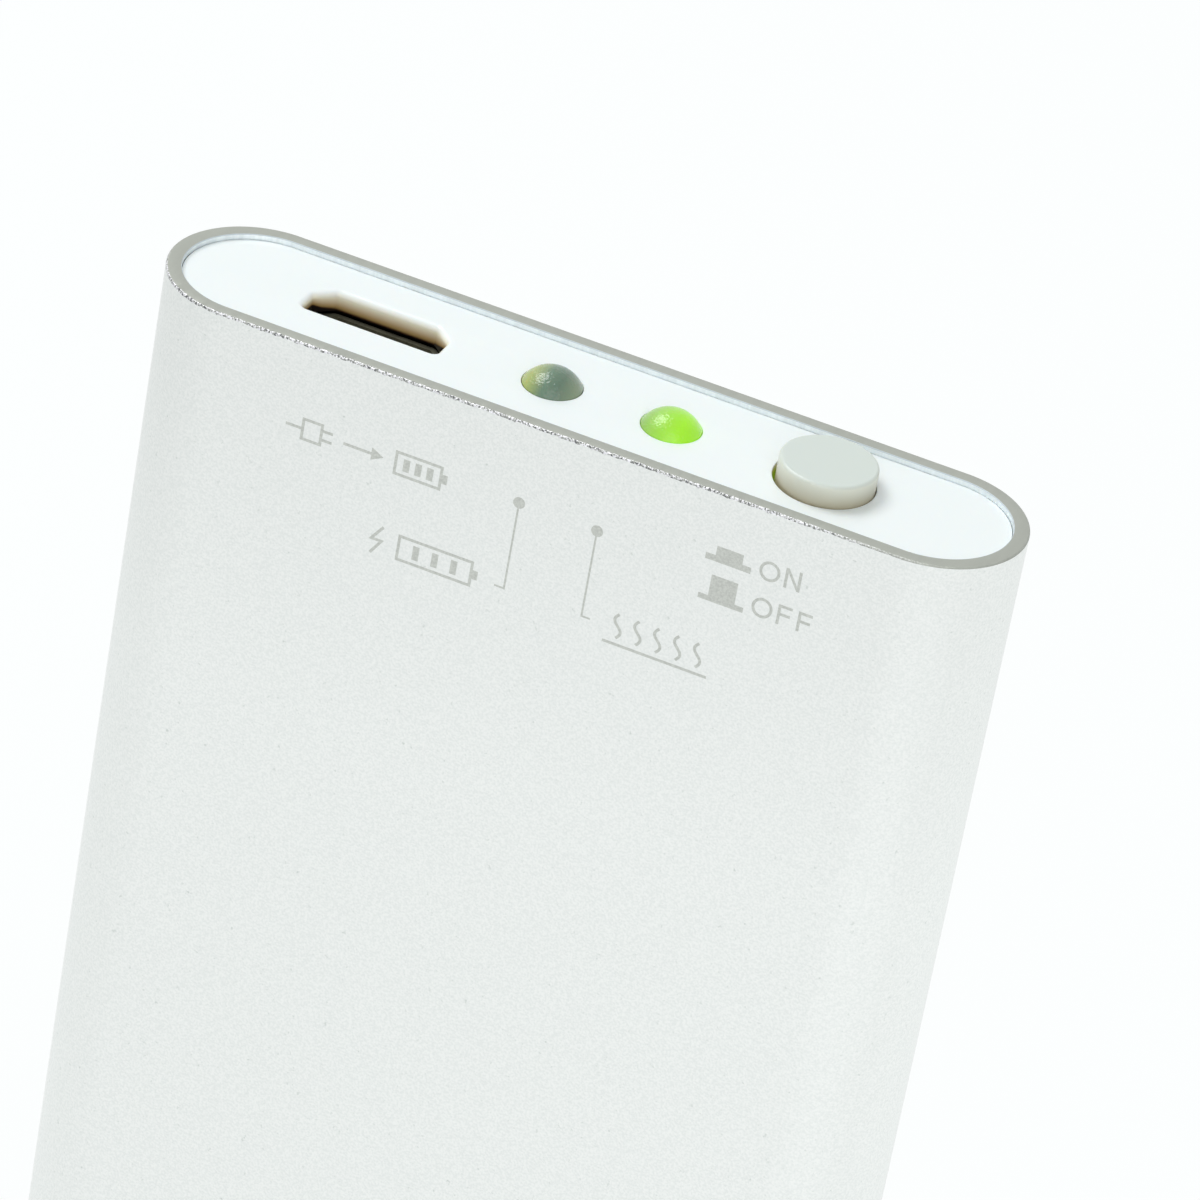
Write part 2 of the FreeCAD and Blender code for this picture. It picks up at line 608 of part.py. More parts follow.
def jack_tongue():
    """The plastic block in the back of the socket and the tongue that stands on it."""
    base = port_bar(-JACK_WALL, (JACK_REAR_Z, JACK_REAR_Z + TONGUE_BLOCK))
    tongue_y = about(PORT_Y - TONGUE_OFFSET, TONGUE_THICK)
    tongue = block(about(JACK_X, TONGUE_WIDTH), tongue_y, (JACK_REAR_Z, JACK_MOUTH_Z - TONGUE_SETBACK))
    slot_y = (tongue_y[1], tongue_y[1] + CONTACT_THICK)
    slot_z = (JACK_REAR_Z - OVERRUN, JACK_REAR_Z + TONGUE_BLOCK + OVERRUN)
    slots = [block(about(x, CONTACT_WIDTH), slot_y, slot_z) for x in contact_places()]
    return base.fuse(tongue).cut(slots).removeSplitter()


# Lamps

def lamp(x):
    """A round lamp: a flange with one flat, a straight body and a low domed tip."""
    radius = LED_DIAMETER / 2
    rim = LED_FLANGE_DIAMETER / 2
    flange_z = LED_BASE_Z + LED_FLANGE_HEIGHT
    tip_z = LED_BASE_Z + LED_HEIGHT
    dome_z = tip_z - LED_DOME_HEIGHT
    dome_radius = (radius ** 2 + LED_DOME_HEIGHT ** 2) / (2 * LED_DOME_HEIGHT)
    half_slope = math.atan(LED_DOME_HEIGHT / radius)
    midway_x = dome_radius * math.sin(half_slope)
    midway_z = tip_z - dome_radius + dome_radius * math.cos(half_slope)
    edges = [
        Part.LineSegment(Vector(x, 0, LED_BASE_Z), Vector(x + rim, 0, LED_BASE_Z)),
        Part.LineSegment(Vector(x + rim, 0, LED_BASE_Z), Vector(x + rim, 0, flange_z)),
        Part.LineSegment(Vector(x + rim, 0, flange_z), Vector(x + radius, 0, flange_z)),
        Part.LineSegment(Vector(x + radius, 0, flange_z), Vector(x + radius, 0, dome_z)),
        Part.Arc(
            Vector(x + radius, 0, dome_z),
            Vector(x + midway_x, 0, midway_z),
            Vector(x, 0, tip_z),
        ),
        Part.LineSegment(Vector(x, 0, tip_z), Vector(x, 0, LED_BASE_Z)),
    ]
    half_section = Part.Face(Part.Wire([edge.toShape() for edge in edges]))
    body = half_section.revolve(Vector(x, 0, 0), Vector(0, 0, 1), 360)
    flat_z = (LED_BASE_Z - OVERRUN, flange_z + OVERRUN)
    return body.cut(block((x + radius, x + rim + OVERRUN), about(0, LED_FLANGE_DIAMETER), flat_z))


def charging_led():
    """The lamp that shows charging."""
    return lamp(CHARGING_LED_X)


def warming_led():
    """The lamp that shows warming."""
    return lamp(WARMING_LED_X)


def leg_pair(lamp_x):
    """Where one lamp's two legs stand from side to side."""
    return about(lamp_x, LEG_PITCH)


def led_leg_places():
    """Where all four lamp legs stand from side to side."""
    return leg_pair(CHARGING_LED_X) + leg_pair(WARMING_LED_X)


def lamp_legs(lamp_x):
    """A lamp's two legs, bent back through the board."""
    legs = []
    for x in leg_pair(lamp_x):
        points = [
            Vector(x, 0, LED_BASE_Z),
            Vector(x, 0, LEG_HOLE_Z),
            Vector(x, BOARD_BACK_Y + LEG_TAIL, LEG_HOLE_Z),
        ]
        legs.append(strip(points, LEG_THICK, LEG_THICK))
    return Part.makeCompound(legs)


def charging_led_legs():
    """The charging lamp's legs."""
    return lamp_legs(CHARGING_LED_X)


def warming_led_legs():
    """The warming lamp's legs."""
    return lamp_legs(WARMING_LED_X)


# Button and switch

def power_button():
    """The round button, with two ears under the cap and a square socket for the switch's stem."""
    button = post(BUTTON_X, 0, BUTTON_DIAMETER, (EAR_BOTTOM_Z, BUTTON_TOP_Z))
    button = button.makeFillet(BUTTON_ROUND, edges_at(button, BUTTON_TOP_Z))
    ear_x = about(BUTTON_X, BUTTON_DIAMETER + 2 * EAR_REACH)
    ears = block(ear_x, about(0, EAR_WIDTH), (EAR_BOTTOM_Z, EAR_TOP_Z))
    socket_width = STEM_WIDTH + 2 * STEM_FIT
    socket_z = (EAR_BOTTOM_Z - OVERRUN, SOCKET_TOP_Z)
    socket = block(about(BUTTON_X, socket_width), about(0, socket_width), socket_z)
    return button.fuse(ears).cut(socket).removeSplitter()


def switch_plunger():
    """The switch's slider: a guided block bored for its spring, and the stem in the button."""
    width = SWITCH_WIDTH - 2 * (SWITCH_WALL + PLUNGER_CLEARANCE)
    depth = SWITCH_DEPTH - 2 * (SWITCH_WALL + PLUNGER_CLEARANCE)
    slider = block(about(BUTTON_X, width), about(0, depth), (PLUNGER_BOTTOM_Z, PLUNGER_TOP_Z))
    stem_z = (PLUNGER_TOP_Z, SOCKET_TOP_Z - STEM_FIT)
    stem = block(about(BUTTON_X, STEM_WIDTH), about(0, STEM_WIDTH), stem_z)
    bore_diameter = SPRING_DIAMETER + 2 * SPRING_BORE_GAP
    bore = post(BUTTON_X, 0, bore_diameter, (PLUNGER_BOTTOM_Z - OVERRUN, SPRING_TOP_Z + SPRING_SEAT_GAP))
    return slider.fuse(stem).cut(bore).removeSplitter()


def switch_housing():
    """The switch's case, open below, with a square hole in its roof for the stem."""
    outside = block(about(BUTTON_X, SWITCH_WIDTH), about(0, SWITCH_DEPTH), (SWITCH_FLOOR_Z, SWITCH_TOP_Z))
    inner_x = about(BUTTON_X, SWITCH_WIDTH - 2 * SWITCH_WALL)
    inner_y = about(0, SWITCH_DEPTH - 2 * SWITCH_WALL)
    inside = block(inner_x, inner_y, (SWITCH_FLOOR_Z - OVERRUN, SWITCH_ROOF_Z))
    hole_width = STEM_WIDTH + 2 * PLUNGER_CLEARANCE
    hole_z = (SWITCH_ROOF_Z - OVERRUN, SWITCH_TOP_Z + OVERRUN)
    hole = block(about(BUTTON_X, hole_width), about(0, hole_width), hole_z)
    return outside.cut([inside, hole])


def switch_base():
    """The plate that closes the switch from below."""
    return block(about(BUTTON_X, SWITCH_WIDTH), about(0, SWITCH_DEPTH), (SWITCH_BOTTOM_Z, SWITCH_FLOOR_Z))


def switch_spring():
    """The spring that pushes the slider out."""
    z_span = (SWITCH_FLOOR_Z + SPRING_SEAT_GAP, SPRING_TOP_Z)
    return coil(BUTTON_X, SPRING_DIAMETER, SPRING_WIRE, SPRING_TURNS, z_span)


def switch_terminals():
    """Flat terminals from both sides of the switch onto the board beside its notch."""
    middle_z = (SWITCH_FLOOR_Z + SWITCH_TOP_Z) / 2
    y_span = (BOARD_FRONT_Y - TERMINAL_THICK, BOARD_FRONT_Y)
    terminals = []
    for side in (-1, 1):
        wall_x = BUTTON_X + side * SWITCH_WIDTH / 2
        x_span = sorted((wall_x, wall_x + side * TERMINAL_REACH))
        for number in range(TERMINALS_A_SIDE):
            z = middle_z + TERMINAL_PITCH * (number - (TERMINALS_A_SIDE - 1) / 2)
            terminals.append(block(x_span, y_span, about(z, TERMINAL_WIDTH)))
    return Part.makeCompound(terminals)


# Chips on the main board

def board_place(shares):
    """A place on the board from shares of its half width and its height."""
    return (BOARD_HALF_WIDTH * shares[0], BOARD_BOTTOM_Z + BOARD_HEIGHT * shares[1])


def chip_body(shares, length, width, height):
    """A moulded chip that stands just off the board."""
    x, z = board_place(shares)
    back = BOARD_FRONT_Y - CHIP_STANDOFF
    return block(about(x, length), (back - height, back), about(z, width))


def board_chips():
    """The charging chip, the heater control chip and the heater transistor."""
    return Part.makeCompound([
        chip_body(CHARGER_SHARES, IC_LENGTH, IC_WIDTH, IC_HEIGHT),
        chip_body(CONTROLLER_SHARES, IC_LENGTH, IC_WIDTH, IC_HEIGHT),
        chip_body(TRANSISTOR_SHARES, TRANSISTOR_LENGTH, TRANSISTOR_WIDTH, TRANSISTOR_HEIGHT),
    ])


def leg_row(shares, width, height, pitch, count, way):
    """A row of bent legs along one long side of a chip."""
    middle_x, middle_z = board_place(shares)
    side_z = middle_z + way * width / 2
    root_y = BOARD_FRONT_Y - CHIP_STANDOFF - height / 2
    foot_y = BOARD_FRONT_Y - CHIP_LEG_THICK / 2
    legs = []
    for number in range(count):
        x = middle_x + pitch * (number - (count - 1) / 2)
        points = [
            Vector(x, root_y, side_z),
            Vector(x, root_y, side_z + way * CHIP_LEG_KNEE),
            Vector(x, foot_y, side_z + way * CHIP_LEG_KNEE),
            Vector(x, foot_y, side_z + way * (CHIP_LEG_KNEE + CHIP_LEG_FOOT)),
        ]
        legs.append(strip(points, CHIP_LEG_WIDTH, CHIP_LEG_THICK))
    return legs


def chip_legs():
    """The bent legs of the three chips."""
    legs = []
    for shares in (CHARGER_SHARES, CONTROLLER_SHARES):
        for way in (-1, 1):
            legs += leg_row(shares, IC_WIDTH, IC_HEIGHT, IC_LEG_PITCH, IC_LEGS, way)
    legs += leg_row(TRANSISTOR_SHARES, TRANSISTOR_WIDTH, TRANSISTOR_HEIGHT, TRANSISTOR_LEG_PITCH, 2, -1)
    legs += leg_row(TRANSISTOR_SHARES, TRANSISTOR_WIDTH, TRANSISTOR_HEIGHT, TRANSISTOR_LEG_PITCH, 1, 1)
    return Part.makeCompound(legs)


def board_ceramics():
    """Small ceramic capacitors and resistors, flat on the board."""
    pieces = []
    for shares in CERAMIC_SHARES:
        x, z = board_place(shares)
        y_span = (BOARD_FRONT_Y - CERAMIC_HEIGHT, BOARD_FRONT_Y)
        pieces.append(block(about(x, CERAMIC_LENGTH), y_span, about(z, CERAMIC_WIDTH)))
    return Part.makeCompound(pieces)


# Battery

def battery_cell():
    """The pouch cell: a body with folded sides and the thin sealed terrace at its top."""
    body_top = BATTERY_TOP_Z - TERRACE_HEIGHT
    body = block(about(0, BATTERY_WIDTH), about(0, BATTERY_DEPTH), (BATTERY_BOTTOM_Z, body_top))
    uprights = [edge for edge in body.Edges if edge.BoundBox.ZLength > BATTERY_DEPTH]
    body = body.makeFillet(BATTERY_FOLD_ROUND, uprights)
    terrace_x = about(0, BATTERY_WIDTH - 2 * TERRACE_INSET)
    terrace = block(terrace_x, (GUARD_FRONT_Y - TERRACE_THICK, GUARD_FRONT_Y), (body_top, BATTERY_TOP_Z))
    return body.fuse(terrace).removeSplitter()


def battery_tabs():
    """The cell's two metal tabs, folded over the protection board."""
    rise_y = GUARD_FRONT_Y - TERRACE_THICK / 2
    lap_y = GUARD_BACK_Y + TAB_THICK / 2
    fold_z = BATTERY_TOP_Z + TAB_RISE
    tabs = []
    for x in (-TAB_X, TAB_X):
        points = [
            Vector(x, rise_y, BATTERY_TOP_Z),
            Vector(x, rise_y, fold_z),
            Vector(x, lap_y, fold_z),
            Vector(x, lap_y, GUARD_TOP_Z - TAB_LAP),
        ]
        tabs.append(strip(points, TAB_WIDTH, TAB_THICK))
    return Part.makeCompound(tabs)


def protection_board():
    """The narrow board on the terrace that guards the cell."""
    z_span = (GUARD_TOP_Z - GUARD_HEIGHT, GUARD_TOP_Z)
    return block(about(GUARD_X, GUARD_WIDTH), (GUARD_FRONT_Y, GUARD_BACK_Y), z_span)


def protection_chips():
    """The two chips of the protection board, one outside the tabs and one between them."""
    z_span = about(GUARD_TOP_Z - GUARD_HEIGHT / 2, GUARD_CHIP_WIDTH)
    y_span = (GUARD_BACK_Y, GUARD_BACK_Y + GUARD_CHIP_HEIGHT)
    outside_x = -TAB_X - TAB_WIDTH / 2 - GUARD_CHIP_GAP - GUARD_CHIP_LENGTH / 2
    return Part.makeCompound([block(about(x, GUARD_CHIP_LENGTH), y_span, z_span) for x in (outside_x, 0)])


def battery_lead(x):
    """A straight wire from the protection board up onto the main board."""
    return post(x, LEAD_Y, LEAD_DIAMETER, (GUARD_TOP_Z, LEAD_END_Z))


def battery_lead_red():
    """The cell's positive wire."""
    return battery_lead(RED_LEAD_X)


def battery_lead_black():
    """The cell's negative wire."""
    return battery_lead(BLACK_LEAD_X)


def foam_pad():
    """The pad that takes up the cell's length."""
    return block(about(0, BATTERY_WIDTH), about(0, BATTERY_DEPTH), (BAY_FLOOR_Z, BATTERY_BOTTOM_Z))


# Heaters and wires

def film(side):
    """A heater film against a flat inner face of the tube."""
    y_span = sorted((side * FILM_INNER_Y, side * INNER_DEPTH / 2))
    return block(about(0, FILM_WIDTH), y_span, (FILM_BOTTOM_Z, FILM_TOP_Z))


def front_heater():
    """The heater film behind the printed face."""
    return film(-1)


def rear_heater():
    """The heater film behind the back face."""
    return film(1)


def felt(side):
    """A felt that keeps the cell off a heater film."""
    y_span = sorted((side * FELT_INNER_Y, side * FILM_INNER_Y))
    return block(about(0, FILM_WIDTH), y_span, (FILM_BOTTOM_Z, BATTERY_TOP_Z))


def front_insulator():
    """The felt behind the front film."""
    return felt(-1)


def rear_insulator():
    """The felt behind the rear film."""
    return felt(1)


def lead_up(x, start_y, lie_y, width, thickness):
    """A lead that leaves a film squarely, folds up and lies on the main board."""
    points = [Vector(x, start_y, PAD_Z), Vector(x, lie_y, PAD_Z), Vector(x, lie_y, LEAD_END_Z)]
    return strip(points, width, thickness)


def front_heater_leads():
    """The two flat leads of the front film."""
    return Part.makeCompound([
        lead_up(x, -FILM_INNER_Y, RIBBON_Y, RIBBON_WIDTH, RIBBON_THICK) for x in (-FRONT_LEAD_X, FRONT_LEAD_X)
    ])


def rear_heater_leads():
    """The two flat leads of the rear film."""
    return Part.makeCompound([
        lead_up(x, FILM_INNER_Y, RIBBON_Y, RIBBON_WIDTH, RIBBON_THICK) for x in (-REAR_LEAD_X, REAR_LEAD_X)
    ])


def thermistor():
    """The heat sensor, a bead on the front film."""
    bead = cross_pin(0, PAD_Z, SENSOR_DIAMETER, (-FILM_INNER_Y, SENSOR_LENGTH - FILM_INNER_Y))
    tip = [edge for edge in bead.Edges if edge.BoundBox.YMin > -FILM_INNER_Y + SENSOR_LENGTH / 2]
    return bead.makeChamfer(SENSOR_CHAMFER, tip)


def thermistor_leads():
    """The sensor's two thin leads."""
    return Part.makeCompound([
        lead_up(x, SENSOR_LENGTH - FILM_INNER_Y, SENSOR_LEAD_Y, SENSOR_LEAD_THICK, SENSOR_LEAD_THICK)
        for x in about(0, SENSOR_LEAD_SPACING)
    ])


PIECES = (
    shell, top_cap, bottom_cap, tray,
    power_button, switch_plunger, switch_housing, switch_base, switch_spring, switch_terminals,
    main_board, board_screws, board_chips, chip_legs, board_ceramics,
    jack_shell, jack_tongue, jack_contacts,
    charging_led, warming_led, charging_led_legs, warming_led_legs,
    battery_cell, battery_tabs, protection_board, protection_chips, battery_lead_red, battery_lead_black,
    front_heater, rear_heater, front_heater_leads, rear_heater_leads,
    front_insulator, rear_insulator, thermistor, thermistor_leads, foam_pad,
)


def main():
    """Writes each piece to a file of its own."""
    os.makedirs("parts", exist_ok=True)
    for piece in PIECES:
        piece().exportStep(os.path.join("parts", piece.__name__ + ".step"))


main()
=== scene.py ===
"""Looks of a slim rechargeable hand warmer, built round its packed CAD frame."""

import math

import bmesh
import bpy
from bpy.props import FloatProperty, FloatVectorProperty, IntProperty, PointerProperty
from mathutils import Color, Matrix, Vector, noise
from mathutils.geometry import tessellate_polygon


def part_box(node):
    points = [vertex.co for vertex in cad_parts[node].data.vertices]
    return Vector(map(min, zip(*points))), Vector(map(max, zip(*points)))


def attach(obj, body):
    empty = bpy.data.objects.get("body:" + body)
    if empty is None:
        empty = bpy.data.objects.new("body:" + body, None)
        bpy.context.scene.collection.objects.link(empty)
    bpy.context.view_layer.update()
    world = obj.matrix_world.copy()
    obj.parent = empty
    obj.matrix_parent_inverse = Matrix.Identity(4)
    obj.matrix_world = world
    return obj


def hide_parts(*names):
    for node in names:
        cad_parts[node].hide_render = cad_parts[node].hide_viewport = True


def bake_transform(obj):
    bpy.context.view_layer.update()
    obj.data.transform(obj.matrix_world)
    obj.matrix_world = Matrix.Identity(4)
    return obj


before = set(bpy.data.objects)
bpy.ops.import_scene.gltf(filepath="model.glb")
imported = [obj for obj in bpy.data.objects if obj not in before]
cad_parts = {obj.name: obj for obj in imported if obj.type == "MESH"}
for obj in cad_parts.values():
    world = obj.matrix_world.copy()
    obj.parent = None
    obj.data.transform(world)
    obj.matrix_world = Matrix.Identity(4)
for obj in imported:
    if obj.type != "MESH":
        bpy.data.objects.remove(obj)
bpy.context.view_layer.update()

bl_info = {
    "name": "Hand Warmer Looks",
    "version": (1, 0, 0),
    "blender": (4, 5, 0),
    "location": "View3D > Sidebar > Hand Warmer",
    "description": "Builds the visible pieces and finishes of a pocket hand warmer",
    "category": "Object",
}

MM = 0.001
WHITE = (1.0, 1.0, 1.0)
BLACK = (0.0, 0.0, 0.0)
SCREEN_WHITE = 255


def screen(red, green, blue):
    """A linear colour from the 0 to 255 values that a screen shows."""
    shown = Color((red / SCREEN_WHITE, green / SCREEN_WHITE, blue / SCREEN_WHITE))
    return tuple(shown.from_srgb_to_scene_linear())


def length(name, description, millimetres):
    """A length setting, given in millimetres and kept in metres."""
    return FloatProperty(name=name, description=description, default=millimetres * MM,
                         unit="LENGTH", precision=5)


def share(name, description, default):
    """A setting from 0 to 1."""
    return FloatProperty(name=name, description=description, default=default, min=0.0, max=1.0,
                         subtype="FACTOR")


def amount(name, description, default, unit="NONE"):
    """A setting of nought or more."""
    return FloatProperty(name=name, description=description, default=default, min=0.0, unit=unit)


def colour(name, description, default):
    """A colour setting."""
    return FloatVectorProperty(name=name, description=description, default=default, size=3,
                               min=0.0, max=1.0, subtype="COLOR")


def spot(name, description, default):
    """A setting for a place, in metres."""
    return FloatVectorProperty(name=name, description=description, default=default, size=3,
                               subtype="TRANSLATION", unit="LENGTH", precision=5)


def settings_group(kind, name):
    """A group of settings, described as its class is."""
    return PointerProperty(type=kind, name=name, description=kind.__doc__.rstrip("."))


# Settings

class TubeSettings(bpy.types.PropertyGroup):
    """Sizes and colours of the aluminium tube."""
    side_wall: length("Side Wall", "Wall at the flat sides", 0.75)
    end_wall: length("End Wall", "Wall at the round ends", 0.8)
    rim_round: length("Rim Round", "Radius on the outer edges of the rims", 0.08)
    inner_round: length("Inner Round", "Radius on the inner edges of the rims", 0.04)
    nick_depth: length("Nick Depth", "How deep the saw left its marks in the outer edge", 0.03)
    nick_length: length("Nick Length", "How long those marks are along the edge", 0.28)
    burr_height: length("Burr Height", "How far the broken edge reaches down the face", 0.11)
    burr_end: length("Burr End", "How far from the middle that edge ends on the button side", 20.0)
    burr_fade: length("Burr Fade", "Over which stretch it dies out there", 8.0)
    burr_start: length("Burr Start", "How far from the middle it starts on the socket side", 22.3)
    burr_rise: length("Burr Rise", "Over which stretch it comes up there", 1.5)
    burr_turn: length("Burr Turn", "How far in front of the middle it is full at the ends", 2.5)
    column_step: length("Column Step", "Spacing of the mesh round the oval", 0.15)
    grain_size: length("Grain Size", "Size of the blasted grain", 0.13)
    grain_height: length("Grain Height", "How far the blasted grain stands out", 0.012)
    pit_size: length("Pit Size", "Spacing of the deeper pits", 0.3)
    fleck_size: length("Fleck Size", "Size of the flecks on the broken edge", 0.1)
    fleck_height: length("Fleck Height", "How far those flecks stand out", 0.07)
    face_light: colour("Face Light", "Raised grain of the blasted face", screen(250, 252, 250))
    face_dark: colour("Face Dark", "Hollows of the blasted face", screen(241, 244, 242))
    pit_colour: colour("Pit Colour", "Deeper pits of the blasted face", screen(228, 231, 229))
    # Painted shade: the face is tinted darker towards the upper rim, over this length
    rim_painted_shade_tint: colour("Worn Tint", "Tint of the face near the upper rim", (0.962, 0.962, 0.962))
    rim_painted_shade_length: length("Worn Length", "How far down from that rim the tint reaches", 20.0)
    rim_colour: colour("Rim Colour", "Cut metal of the rim", screen(166, 169, 161))
    edge_light: colour("Edge Light", "Bright burrs along the outer edge", screen(236, 235, 241))
    edge_dark: colour("Edge Dark", "Dark marks along the outer edge", screen(98, 98, 106))
    inside_light: colour("Inside Light", "Drawn metal inside", screen(240, 245, 247))
    inner_colour: colour("Inner Colour", "Cut metal at the inner edge", screen(198, 208, 214))


class CapSettings(bpy.types.PropertyGroup):
    """Sizes and colours of the two moulded caps."""
    plate: length("Plate", "Thickness of the cap's plate", 1.05)
    edge_round: length("Edge Round", "Radius on the edges of the round openings", 0.05)
    rim_round: length("Rim Round", "Radius on the cap's outer edge", 0.02)
    spread: length("Spread", "How far the moulding is sprung out towards the tube", 0.03)
    skirt_wall: length("Skirt Wall", "Wall of the skirt inside the tube", 0.8)
    skirt_length: length("Skirt Length", "Length of the skirt below the plate", 3.7)
    collar_wall: length("Collar Wall", "Wall of the collars round the lamps", 0.65)
    collar_length: length("Collar Length", "Length of the collars below the plate", 2.15)
    lamp_rim: length("Lamp Rim", "How far a lamp's flange stands out from its body", 0.4)
    lamp_gap: length("Lamp Gap", "Room round a lamp in its hole", 0.03)
    button_gap: length("Button Gap", "Room round the button in its hole", 0.11)
    button_off_centre: length("Button Off Centre", "How far right of its hole's middle the button is", 0.08)
    button_forward: length("Button Forward", "How far in front of that middle the button is", 0.05)
    port_lip: length("Port Lip", "How far the opening's edge reaches over the socket", 0.1)
    port_round: length("Port Round", "Radius on the edge of the charging opening", 0.35)
    port_chamfer: length("Port Chamfer", "Cut-off back corners of the socket", 1.0)
    port_corner: length("Port Corner", "Radius on the socket's corners", 0.4)
    arm_width: length("Arm Width", "Width of a snap arm", 3.0)
    arm_thick: length("Arm Thickness", "Thickness of a snap arm", 0.9)
    arm_length: length("Arm Length", "How far a snap arm reaches below the skirt", 3.6)
    arm_inset: length("Arm Inset", "From the cap's end to the outside of a snap arm", 0.95)
    barb: length("Barb", "How far a snap arm's barb stands out", 0.4)
    barb_height: length("Barb Height", "Height of a barb's slope", 1.2)
    surface: colour("Surface", "White moulding", screen(240, 247, 247))
    # Cream, tan, brown, bottom and dark are painted shade in the openings, warmer and darker with depth
    cream: colour("Cream", "The moulding just inside an opening", screen(255, 250, 226))
    tan: colour("Tan", "The moulding half way down an opening", screen(209, 184, 140))
    brown: colour("Brown", "The moulding deep in an opening", screen(180, 150, 97))
    bottom: colour("Bottom", "The moulding where hardly any light gets", screen(70, 44, 24))
    dark: colour("Dark", "The moulding where no light gets", screen(20, 12, 10))
    painted_shade_depth: length("Dark Depth", "How deep in an opening it is dark", 1.03)
    painted_shade_left: share("Dark Left", "Share of that depth at the left end of the charging opening", 0.65)
    painted_shade_corner: share("Dark Corner", "Share of that depth round the corner from the left end", 0.84)
    painted_shade_right: share("Dark Right", "Share of that depth at the right end of the charging opening", 0.5)
    # Painted glow: the moulding beside the button glows green for the lit lamp's light
    leak: colour("Leak", "Light of the lit lamp that leaks out beside the button", screen(150, 185, 40))
    leak_strength: amount("Leak Strength", "Brightness of that light", 0.35)


class LampSettings(bpy.types.PropertyGroup):
    """Colours and frosting of the two lamps."""
    # The tints across each lamp are painted light and shade: the unlit lamp lighter on the left where light
    # would gather, darker to the right
    unlit_glow: colour("Unlit Glow", "Side of the unlit lamp that gathers light", screen(164, 178, 96))
    unlit_middle: colour("Unlit Middle", "Middle of the unlit lamp", screen(99, 128, 105))
    unlit_deep: colour("Unlit Deep", "Dark side of the unlit lamp", screen(92, 118, 98))
    unlit_edge: colour("Unlit Edge", "Far edge of the unlit lamp", screen(132, 150, 120))
    lit_pale: colour("Lit Pale", "Cloudy side of the lit lamp", screen(123, 164, 72))
    lit_bright: colour("Lit Bright", "Bright side of the lit lamp", screen(140, 206, 3))
    lit_strength: amount("Lit Strength", "Brightness of the lit lamp", 0.45)
    frost_size: length("Frost Size", "Size of the frosting on a lamp", 0.12)
    frost_height: length("Frost Height", "How far the frosting stands out", 0.016)
    gloss_height: length("Gloss Height", "How uneven the lamp's glossy skin is", 0.05)


class ButtonSettings(bpy.types.PropertyGroup):
    """Colours of the power button and sizes of its return spring."""
    # Top, upper and lower are painted light and shade of one grey moulding, lighter on top and high on the
    # side, darker low on the side
    top: colour("Top", "Light grey moulding", screen(211, 220, 214))
    upper: colour("Upper", "The same moulding high on its side", screen(228, 230, 217))
    lower: colour("Lower", "The same moulding low on its side", screen(177, 169, 144))
    upper_depth: length("Upper Depth", "How far below the top the side begins", 0.18)
    lower_depth: length("Lower Depth", "How far below the top the side is darkest", 1.2)
    spring_wire: length("Spring Wire", "Thickness of the wire of the switch's return spring", 0.3)
    spring_turns: IntProperty(name="Spring Turns", description="Open turns of that spring", default=3, min=1)


class PrintSettings(bpy.types.PropertyGroup):
    """Sizes and colour of the printed marks on the front."""
    ink: colour("Ink", "Grey ink", screen(204, 207, 201))
    lift: length("Lift", "How far the ink stands off the metal", 0.006)
    stroke: length("Stroke", "Width of the lines of letters and signs", 0.15)
    hairline: length("Hairline", "Width of the leader lines", 0.10)
    letter_height: length("Letter Height", "Height of the capitals", 1.10)
    dot: length("Dot", "Diameter of the dots at the leader lines", 0.62)


class StageSettings(bpy.types.PropertyGroup):
    """The camera, the lights and the floor."""
    camera_place: spot("Camera Place", "Where the camera stands", (0.09490, -0.29293, 0.27339))
    camera_turn: FloatVectorProperty(name="Camera Turn", description="How the camera is turned", size=3,
                                     default=[math.radians(a) for a in (57.9019, -9.0339, 23.1731)],
                                     subtype="EULER", unit="ROTATION", precision=5)
    lens: amount("Lens", "Focal length", 221.75, unit="CAMERA")
    sensor: amount("Sensor", "Width of the sensor", 36.0, unit="CAMERA")
    floor_size: length("Floor Size", "Side of the square floor", 6000.0)
    floor_colour: colour("Floor Colour", "Pale floor", screen(253, 255, 255))
    floor_white: share("Floor White", "How much of the floor shows white whatever the light", 0.9)
    left_dark: share("Left Dark", "Share of its brightness that the floor shows to metal on the left", 0.78)
    left_end: length("Left End", "Place across the floor where it is at its dimmest", -320.0)
    left_start: length("Left Start", "Place across the floor where it begins to dim", 60.0)
    sky_level: amount("Sky Level", "Even light from all round", 0.48)
    key_place: spot("Key Place", "Where the main soft light stands", (-0.49, 0.12, 0.81))
    key_size: length("Key Size", "Side of the main soft light", 440.0)
    key_power: amount("Key Power", "Power of the main soft light", 4.1, unit="POWER")
    fill_place: spot("Fill Place", "Where the second soft light stands", (0.28, -0.60, 0.55))
    fill_size: length("Fill Size", "Side of the second soft light", 700.0)
    fill_power: amount("Fill Power", "Power of the second soft light", 1.9, unit="POWER")
    aim_height: length("Aim Height", "Height at which both lights are aimed", 80.0)


class HandWarmerSettings(bpy.types.PropertyGroup):
    """All settings of the hand warmer."""
    tube: settings_group(TubeSettings, "Tube")
    cap: settings_group(CapSettings, "Caps")
    lamp: settings_group(LampSettings, "Lamps")
    button: settings_group(ButtonSettings, "Power Button")
    front_print: settings_group(PrintSettings, "Front Print")
    stage: settings_group(StageSettings, "Stage")


def settings():
    """The scene's hand warmer settings."""
    return bpy.context.scene.hand_warmer


# Shader nodes

# Colour sockets of the mix node, which has others of the same names
MIX_FIRST = 6
MIX_SECOND = 7
MIX_RESULT = 2
GRAIN_ROUGHNESS = 0.6
UNSTRETCHED = (1.0, 1.0, 1.0)


